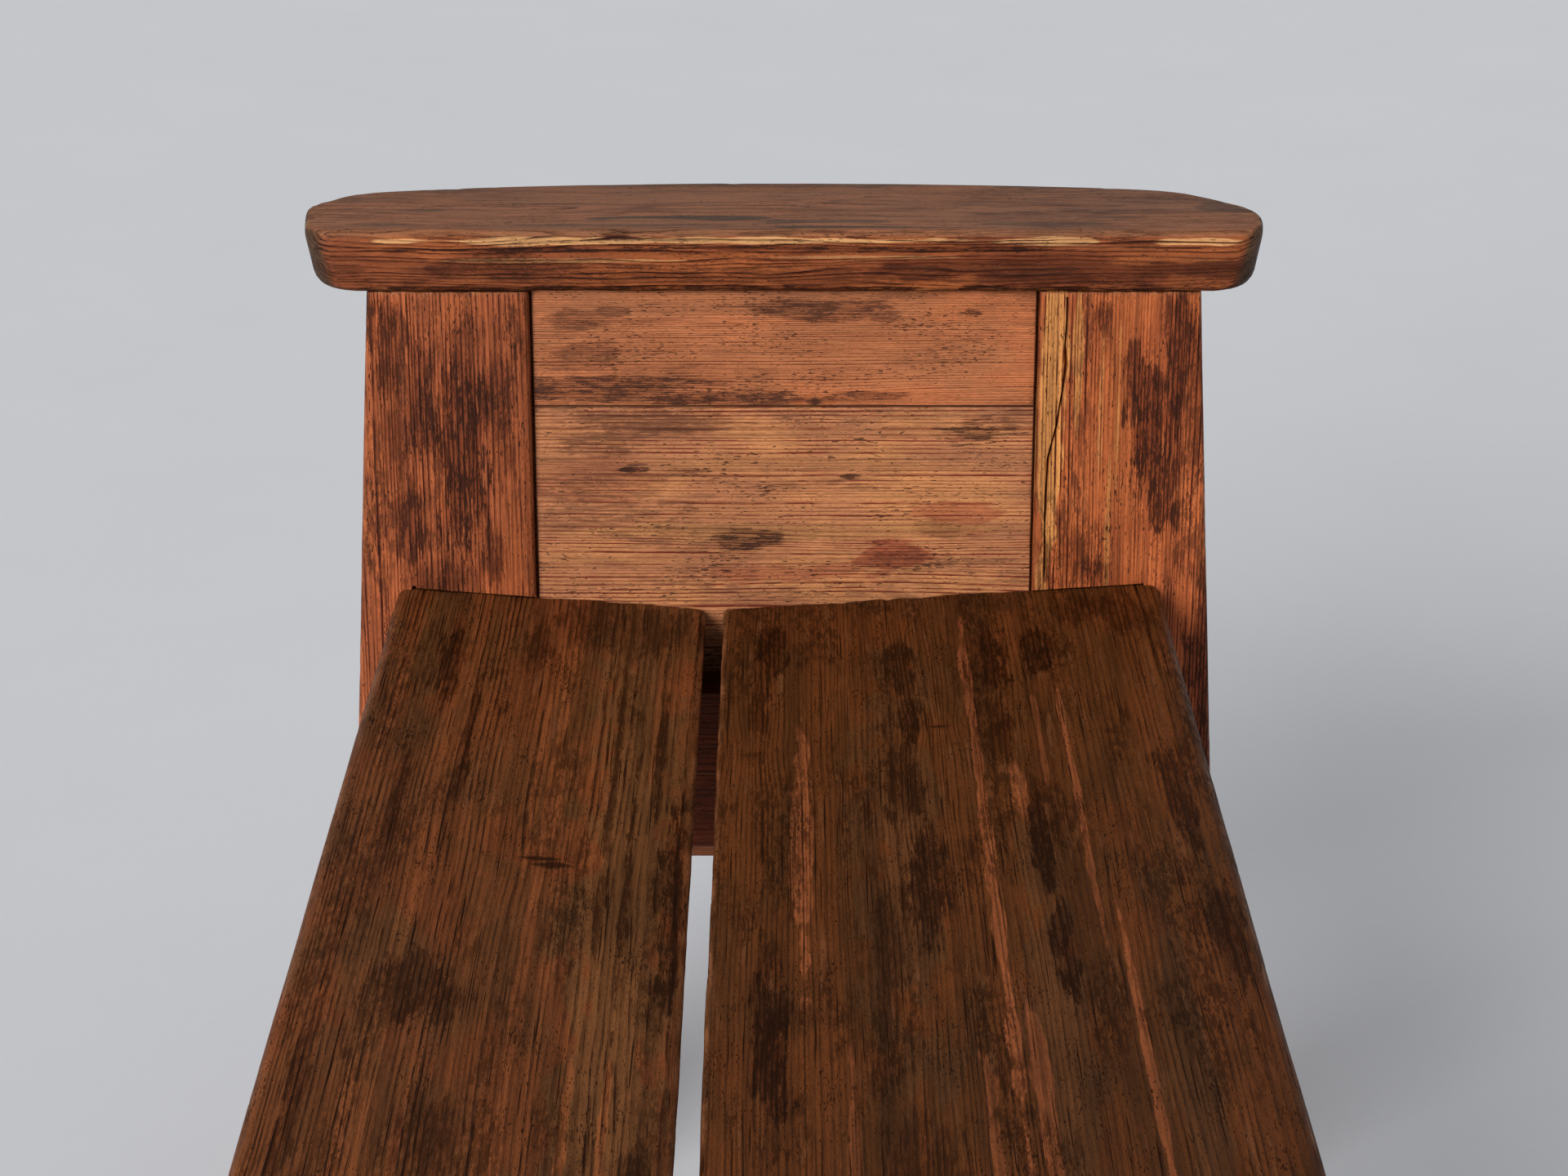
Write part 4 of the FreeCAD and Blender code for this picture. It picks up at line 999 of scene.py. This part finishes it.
def makeArm(end):
    side = ends[end]
    board = newBoard(
        arm, "%s_arm" % end, "arm_pine", 21 * side, "%sArm" % end, armLooks[end],
        mesh=armMesh, nearness=armNearness, origin=(side * arm["inner"], 0, bench["armUnderside"]),
        basis=((0, 1, 0), (side, 0, 0), (0, 0, 1)))
    overhang = bench["halfClear"] - arm["inner"]
    groove = [overhang + offset for offset in post["groove"]]
    cuts = [slabTool((-panel["tongueHalf"], panel["tongueHalf"]), groove, 2,
                     -beyond, panel["tongueRise"] + panel["tipRoom"])]
    for depth, across in post["dowelPlaces"]:
        for hand in (-1, 1):
            bore = roundOutline(hand * across, depth + overhang, post["dowelBore"])
            cuts.append(prismTool(bore, 2, -beyond, arm["dowelDeep"]))
    layBoard(board, cuts)


armLooks = {
    "left": look(
        armLook,
        dulls=[(150, 628, 150, 11, 0.8), (-236, 630, 46, 10, 0.5)],
        topMarks=[(-55, -669, 80, 5, 0.9), (30, -660, 40, 4, 0.7), (45, -648, 60, 3.5, 0.9),
                  (-215, -685, 26, 5, 0.6), (150, -655, 40, 4, 0.6), (-100, -653, 60, 3, 0.5),
                  (262, -690, 20, 16, 0.6), (-30, -744, 220, 6, 0.5), (-240, -655, 30, 5, 0.4),
                  (200, -672, 50, 3, 0.4)],
        # the glows at about 646, along the upper front arris, are a painted highlight
        glows=[(-160, 646.6, 96, 2.4, 1.0), (0, 646.8, 130, 2.2, 1.0), (150, 646.4, 34, 2.0, 0.9),
               (238, 646.2, 30, 2.4, 0.9), (-120, 635, 80, 1.2, 0.5), (40, 637, 60, 1, 0.4)],
        stains=[(-150, 641.4, 110, 1.4, 0.9), (-20, 642.4, 90, 1.6, 1.0), (90, 641.6, 60, 1.4, 1.0),
                (110, 646, 26, 3.0, 0.6), (200, 646, 16, 3.0, 0.5), (0, 617.5, 300, 3.6, 1.0),
                (0, 626, 270, 8, 0.5), (-170, 630, 40, 7, 0.6), (230, 630, 40, 8, 0.4)]),
    "right": look(
        armLook, seed=16.8,
        # both glows, along the upper front arris, are a painted highlight
        glows=[(-120, 646.6, 120, 2.4, 0.9), (80, 646.8, 90, 2.2, 1.0)],
        stains=[(-60, 641.6, 150, 1.5, 0.8), (60, 618, 260, 3.4, 0.9)]),
}
for end in ends:
    makeArm(end)
print("arms done")


# Seat boards

seatBoard = {
    "rounds": (3, 3.5, 3, 7), "endRounds": (1.2, 1.2), "step": 4, "shoulder": 8, "endRoom": 0.3,
    "wear": {"arrisReach": 13, "wave": 0.5, "rub": 1.2, "nick": 2.6},
}
seatLook = {
    "axes": "XYZ", "seed": 3.6, "ring": 2.5, "pith": (0, 270), "drift": 12, "wave": 2.0,
    "early": rgb(120, 71, 38), "late": rgb(44, 20, 6), "warm": rgb(130, 66, 33), "gold": rgb(164, 92, 50),
    "dull": rgb(114, 74, 41), "end": rgb(70, 38, 18),
    "soak": rgb(150, 112, 84), "grime": rgb(30, 11, 1), "worn": rgb(150, 96, 62),
    "contrast": 1.0, "banding": 0.5, "porous": 0.8, "checked": 0.9, "mottled": 0.5, "scuffed": 0.3,
    "endDark": 0.7, "rub": 1.0, "jointDirt": 0.0, "relief": 0.0003, "sheen": 0.04,
}
seatLooks = {
    "front": look(
        seatLook,
        knots=[(-262, -115, 7, 14, 3, 1.0), (-269, -122, 5, 13, 0, 1.0)],
        dulls=[(0, -80, 760, 30, 0.75), (-120, -190, 100, 26, 0.4), (-520, -200, 120, 12, 0.5)],
        glows=[(0, -122, 640, 3.5, 0.8), (-420, -130, 170, 3, 0.6), (40, -190, 90, 14, 0.35),
               (20, -95, 120, 3, 0.7), (10, -78, 100, 2.5, 0.6), (-480, -70, 120, 2.5, 0.4),
               (-340, -119, 60, 4, 0.9)],
        stains=[(-230, -56, 130, 8, 0.9), (-110, -172, 44, 22, 0.7), (60, -62, 60, 8, 0.7),
                (-520, -190, 70, 8, 0.8), (-400, -170, 110, 3, 0.8), (-560, -140, 50, 12, 0.6),
                (-300, -200, 110, 4, 0.7), (-440, -66, 130, 3, 0.7), (-600, -100, 40, 50, 0.5),
                (20, -150, 40, 12, 0.6), (-330, -90, 200, 3, 0.6), (-200, -78, 200, 2.5, 0.7),
                (0, -212, 300, 5, 0.6)]),
    "rear": look(
        seatLook, seed=10.8, early=rgb(94, 54, 25), warm=rgb(103, 52, 22), late=rgb(40, 18, 4),
        pith=(330, 240), gold=rgb(162, 90, 52), dull=rgb(94, 60, 34), ring=2.2, contrast=0.8, mottled=0.6,
        knots=[(-414, -17, 6, 8, 3, 0.5), (-437.5, 84, 4, 8, 3, 0.8), (-360.5, 36.5, 3, 6, 1, 0.4)],
        dulls=[(-300, 60, 300, 26, 0.6), (-60, 125, 260, 16, 0.6), (0, 180, 300, 10, 0.5)],
        glows=[(-250, 103, 400, 3.6, 0.8), (-340, 152, 220, 2.2, 0.7), (-40, 161, 200, 2.2, 0.7),
               (-280, 9, 140, 6, 0.7), (-345, 123, 40, 6, 0.6), (0, 113, 110, 5, 0.7),
               (-400, 138, 90, 2, 0.6), (120, 90, 160, 4, 0.6), (60, 30, 140, 3, 0.4)],
        stains=[(-575, -6, 44, 10, 1.0), (-480, -14, 40, 7, 0.7), (-520, 66, 60, 9, 0.8),
                (-440, 68, 50, 8, 0.9), (-535, 120, 56, 13, 1.0), (-540, 144, 44, 10, 1.0),
                (-430, 118, 46, 7, 0.8), (-240, 72, 70, 14, 0.8), (-290, 130, 80, 5, 0.9),
                (-150, 132, 70, 6, 0.9), (-70, -6, 90, 12, 0.9), (-350, 203, 90, 9, 0.7),
                (-150, 210, 70, 9, 0.7), (-600, 190, 30, 30, 0.6), (60, 60, 60, 20, 0.5),
                (-380, 60, 90, 12, 0.7), (-160, 50, 120, 6, 0.6)]),
}


def makeSeatBoard(row):
    seat, length, thick = seatRows[row], bench["seatLength"], bench["seatThickness"]
    hand, width = seat["hand"], seat["width"]
    first, last = seat["spare"]
    rise = math.radians(seat["slope"])
    out, up = (0, hand * math.cos(rise), math.sin(rise)), (0, -hand * math.sin(rise), math.cos(rise))
    board = newBoard(
        seatBoard, "%s_seat_board" % row, "seat_pine", 31 + hand, "%sSeat" % row, seatLooks[row],
        along=(-length, length), edges=lambda place: (first, width + last), depth=(-thick, 0),
        origin=(0, seat["gapEdge"], bench["gapHeight"]), basis=((1, 0, 0), out, up))
    cuts = []
    outer = (width - seatBoard["shoulder"], width + beyond)
    for side in (-1, 1):
        ending = side * (bench["halfClear"] - seatBoard["endRoom"]), side * (length + beyond)
        cuts.append(slabTool(ending, outer, 2, -thick - beyond, beyond))
    layBoard(board, cuts)


for row in seatRows:
    makeSeatBoard(row)
print("seat boards done")


# Bearers, batten and rail under the seat

under = {
    "bearer": {"half": 204.9, "bottom": 279.5, "cut": 18, "near": 602, "far": 638, "round": 2.5},
    "batten": {"half": 199.9, "bottom": 340, "cut": 14, "halfWidth": 23, "round": 1.5,
               "screws": (-164.4, -110, 30, 157)},
    "rail": {"half": 602, "bottom": 288, "top": 348, "halfWidth": 16, "round": 2.5, "endRounds": (0.3, 0.3),
             "tenon": 18, "tenonHalf": 9, "tenonInset": 8, "tenonRoom": 1, "lapRoom": 0.2},
    "topRound": 0.6, "endRounds": (1.2, 1.2), "step": 4,
    "screwHead": 5.0, "screwNeck": 2.6, "screwHeadDeep": 4.0, "headRoom": 0.1, "skin": 0.02,
    "wear": {"arrisReach": 6, "wave": 0.3, "rub": 0.8, "nick": 2.0},
}
frameLook = {
    "axes": "YZX", "seed": 14.2, "ring": 2.2, "pith": (-300, 40), "drift": 8, "wave": 1.6,
    "early": rgb(76, 32, 14), "late": rgb(40, 12, 4), "warm": rgb(84, 36, 15), "gold": rgb(120, 64, 32),
    "soak": rgb(150, 110, 90), "dull": rgb(60, 34, 20), "end": rgb(50, 26, 14),
    "grime": rgb(26, 10, 4), "worn": rgb(120, 70, 38),
    "contrast": 0.9, "banding": 0.3, "porous": 0.7, "checked": 0.4, "mottled": 0.4, "scuffed": 0.2,
    "endDark": 0.6, "rub": 0.6, "jointDirt": 0.0, "relief": 0.0003, "sheen": 0.1,
}
gapMarks, gapLows = zip(*(seatPoint(row, 0, -bench["seatThickness"]) for row in seatRows))


def cradleTop(across):
    # the underside of the seat boards, which the cross boards carry
    for row, beside in zip(seatRows, (across <= gapMarks[0], across >= gapMarks[1])):
        if beside:
            return seatTop(row, across, -bench["seatThickness"])
    share = (across - gapMarks[0]) / (gapMarks[1] - gapMarks[0])
    return gapLows[0] + (gapLows[1] - gapLows[0]) * share


def cradleEdges(size):
    def edges(place):
        fromEnd = size["half"] - abs(place)
        return size["bottom"] + max(0.0, size["cut"] - fromEnd), cradleTop(place)
    return edges


def crossForm(size, depth, origin, side):
    # what the bearers and the batten share
    half, cut = size["half"], size["cut"]
    return {
        "along": (-half, half), "edges": cradleEdges(size), "depth": depth,
        "rounds": (size["round"], size["round"], under["topRound"], under["topRound"]),
        "breaks": (-half + cut, *gapMarks, half - cut),
        "origin": origin, "basis": ((0, 1, 0), (0, 0, 1), (side, 0, 0)),
    }


def headTool(first, second, axis, face):
    # a screw's countersink, which narrows from the face inwards
    head = roundOutline(first, second, under["screwHead"] + under["headRoom"])
    return prismTool(head, axis, face - under["skin"], face + under["screwHeadDeep"],
                     under["screwNeck"] / under["screwHead"])


def tenonHeights():
    rail = under["rail"]
    return rail["bottom"] + rail["tenonInset"], rail["top"] - rail["tenonInset"]


def makeBearer(end):
    side, size, rail = ends[end], under["bearer"], under["rail"]
    form = crossForm(size, (0, size["far"] - size["near"]), (side * size["near"], 0, 0), side)
    grain = look(frameLook, seed=14.2 + 3 * side)
    board = newBoard(under, "%s_bearer" % end, "frame_pine", 41 + side, "%sBearer" % end, grain, **form)
    cuts = [slabTool((-rail["tenonHalf"], rail["tenonHalf"]), tenonHeights(), 2,
                     -beyond, rail["tenon"] + rail["tenonRoom"])]
    for height, place in post["screwPlaces"]:
        for hand in (-1, 1):
            cuts.append(headTool(hand * place, height, 2, 0))
    layBoard(board, cuts)


def makeBatten():
    size, rail = under["batten"], under["rail"]
    wide, bottom = size["halfWidth"], size["bottom"]
    form = crossForm(size, (-wide, wide), (0, 0, 0), 1)
    board = newBoard(under, "middle_batten", "frame_pine", 47, "batten", look(frameLook, seed=23.0), **form)
    lap = rail["halfWidth"] + rail["lapRoom"]
    cuts = [slabTool((-lap, lap), (bottom - beyond, rail["top"] + rail["lapRoom"]), 2,
                     -wide - beyond, wide + beyond)]
    for place in size["screws"]:
        cuts.append(headTool(place, 0, 1, bottom))
    layBoard(board, cuts)


def makeRail():
    size = under["rail"]
    wide, reach = size["halfWidth"], size["half"] + size["tenon"]
    board = newBoard(
        under, "spine_rail", "frame_pine", 53, "rail", look(frameLook, axes="XZY", seed=27.0),
        along=(-size["half"], size["half"]), edges=lambda place: (size["bottom"], size["top"]),
        depth=(-wide, wide), rounds=(size["round"],) * 4, endRounds=size["endRounds"],
        origin=(0, 0, 0), basis=((1, 0, 0), (0, 0, 1), (0, 1, 0)))
    layBoard(board, (), [slabTool((-reach, reach), tenonHeights(), 2, -size["tenonHalf"], size["tenonHalf"])])


for end in ends:
    makeBearer(end)
makeBatten()
makeRail()
print("bearers, batten and rail done")


# Dowels and screws keep their CAD shapes

small = {
    "relief": 0.0002, "sheen": 0.5, "dowelSeed": 61.0, "dowelRough": (0.0, 1.0, 0.5, 0.7),
    "dowelDark": rgb(150, 104, 66), "dowelPale": rgb(186, 140, 94), "dowelPore": rgb(88, 56, 36),
    "rustSeed": 71.0, "rustNoise": ((3, 3, 3), 4.0, 0.7), "rust": (0.42, 0.62), "bright": rgb(150, 146, 140),
    "rusty": rgb(92, 58, 40), "metal": (0.0, 1.0, 1.0, 0.1), "steelRough": (0.0, 1.0, 0.36, 0.8),
}


def dowelMaterial():
    material, shader, board = newMaterial("dowelPine", "ZYX", small["sheen"])
    grain = useGroup(board.tree, "fibre", {"Board": board, "Seed": small["dowelSeed"]})
    colour = mixColour(grain["Streak"], small["dowelDark"], small["dowelPale"])
    feed(shader["Base Color"], mixColour(grain["Pores"], colour, small["dowelPore"]))
    feed(shader["Roughness"], softStep(grain["Streak"], *small["dowelRough"]))
    addRelief(shader, grain["Streak"], small["relief"])
    return material


def screwMaterial():
    material, shader, board = newMaterial("screwSteel", "XYZ", small["sheen"])
    rust = softStep(grainNoise(board, small["rustSeed"], *small["rustNoise"]), *small["rust"])
    feed(shader["Base Color"], mixColour(rust, small["bright"], small["rusty"]))
    feed(shader["Metallic"], softStep(rust, *small["metal"]))
    feed(shader["Roughness"], softStep(rust, *small["steelRough"]))
    addRelief(shader, rust, small["relief"])
    return material


smallMaterials = {"dowels": dowelMaterial(), "screws": screwMaterial()}
for name, node in nodes.items():
    for kind, material in smallMaterials.items():
        if name.endswith(kind):
            node.data.materials.clear()
            node.data.materials.append(material)
print("dowels and screws finished")


# Stage, light and camera

stage = {
    "floorHalf": 26.0, "floorStep": 1.3, "floorColour": rgb(231, 232, 236), "floorMottle": rgb(229, 230, 234),
    "floorSheen": 0.05, "floorRough": (0.3, 0.7, 0.9, 0.94), "floorMix": (0.35, 0.65),
    "cloud": (81.0, (260, 260, 260), 5.0, 0.6), "cloudShare": 0.6,
    "speck": (83.0, (7, 7, 7), 3.0, 0.6), "speckShare": 0.4,
    "keyFrom": (0.80, -0.50, 0.35), "keyAngle": 34.0, "keyStrength": 2.85, "keyAway": 4,
    "worldColour": (0.97, 0.985, 1.0, 1.0), "worldStrength": 0.40,
}
view = {
    "place": (1.362, 0.0, 1.1665), "tilt": 69.864, "turn": 90.0,
    "lens": 100.0, "sensor": 44.0, "reach": 100.0,
}


def makeFloor():
    steps = spread(-stage["floorHalf"], stage["floorHalf"], stage["floorStep"])
    shape = bmesh.new()
    rows = [[shape.verts.new((across, up, 0.0)) for across in steps] for up in steps]
    for row, after in zip(rows, rows[1:]):
        for spot in range(len(row) - 1):
            shape.faces.new((row[spot], row[spot + 1], after[spot + 1], after[spot]))
    mesh = bpy.data.meshes.new("studioFloor")
    shape.to_mesh(mesh)
    shape.free()
    material, shader, board = newMaterial("paleFloor", "XYZ", stage["floorSheen"])
    cloud, speck = (grainNoise(board, *stage[name]) for name in ("cloud", "speck"))
    level = softStep(speck * stage["speckShare"] + cloud * stage["cloudShare"], *stage["floorMix"])
    feed(shader["Base Color"], mixColour(level, stage["floorMottle"], stage["floorColour"]))
    feed(shader["Roughness"], softStep(cloud, *stage["floorRough"]))
    mesh.materials.append(material)
    addObject("studioFloor", mesh)


def makeKeyLight():
    # one wide softbox far away, above the end behind the camera and on the narrow board's side
    data = bpy.data.lights.new("keySoftbox", "SUN")
    data.energy = stage["keyStrength"]
    data.angle = math.radians(stage["keyAngle"])
    lamp = addObject("keySoftbox", data)
    lamp.location = [stage["keyAway"] * part for part in stage["keyFrom"]]
    lamp.rotation_euler = Vector(stage["keyFrom"]).to_track_quat("Z", "Y").to_euler()


def makeAir():
    world = bpy.data.worlds.new("studioAir")
    bpy.context.scene.world = world
    world.use_nodes = True
    air = world.node_tree.nodes["Background"]
    air.inputs["Color"].default_value = stage["worldColour"]
    air.inputs["Strength"].default_value = stage["worldStrength"]


def makeCamera():
    data = bpy.data.cameras.new("endOnView")
    data.lens = view["lens"]
    data.sensor_width = view["sensor"]
    data.clip_end = view["reach"]
    camera = addObject("endOnView", data)
    camera.location = view["place"]
    camera.rotation_euler = (math.radians(view["tilt"]), 0.0, math.radians(view["turn"]))
    bpy.context.scene.camera = camera


makeFloor()
makeKeyLight()
makeAir()
makeCamera()
bpy.context.scene.view_settings.view_transform = "Standard"
print("stage, light and camera placed")
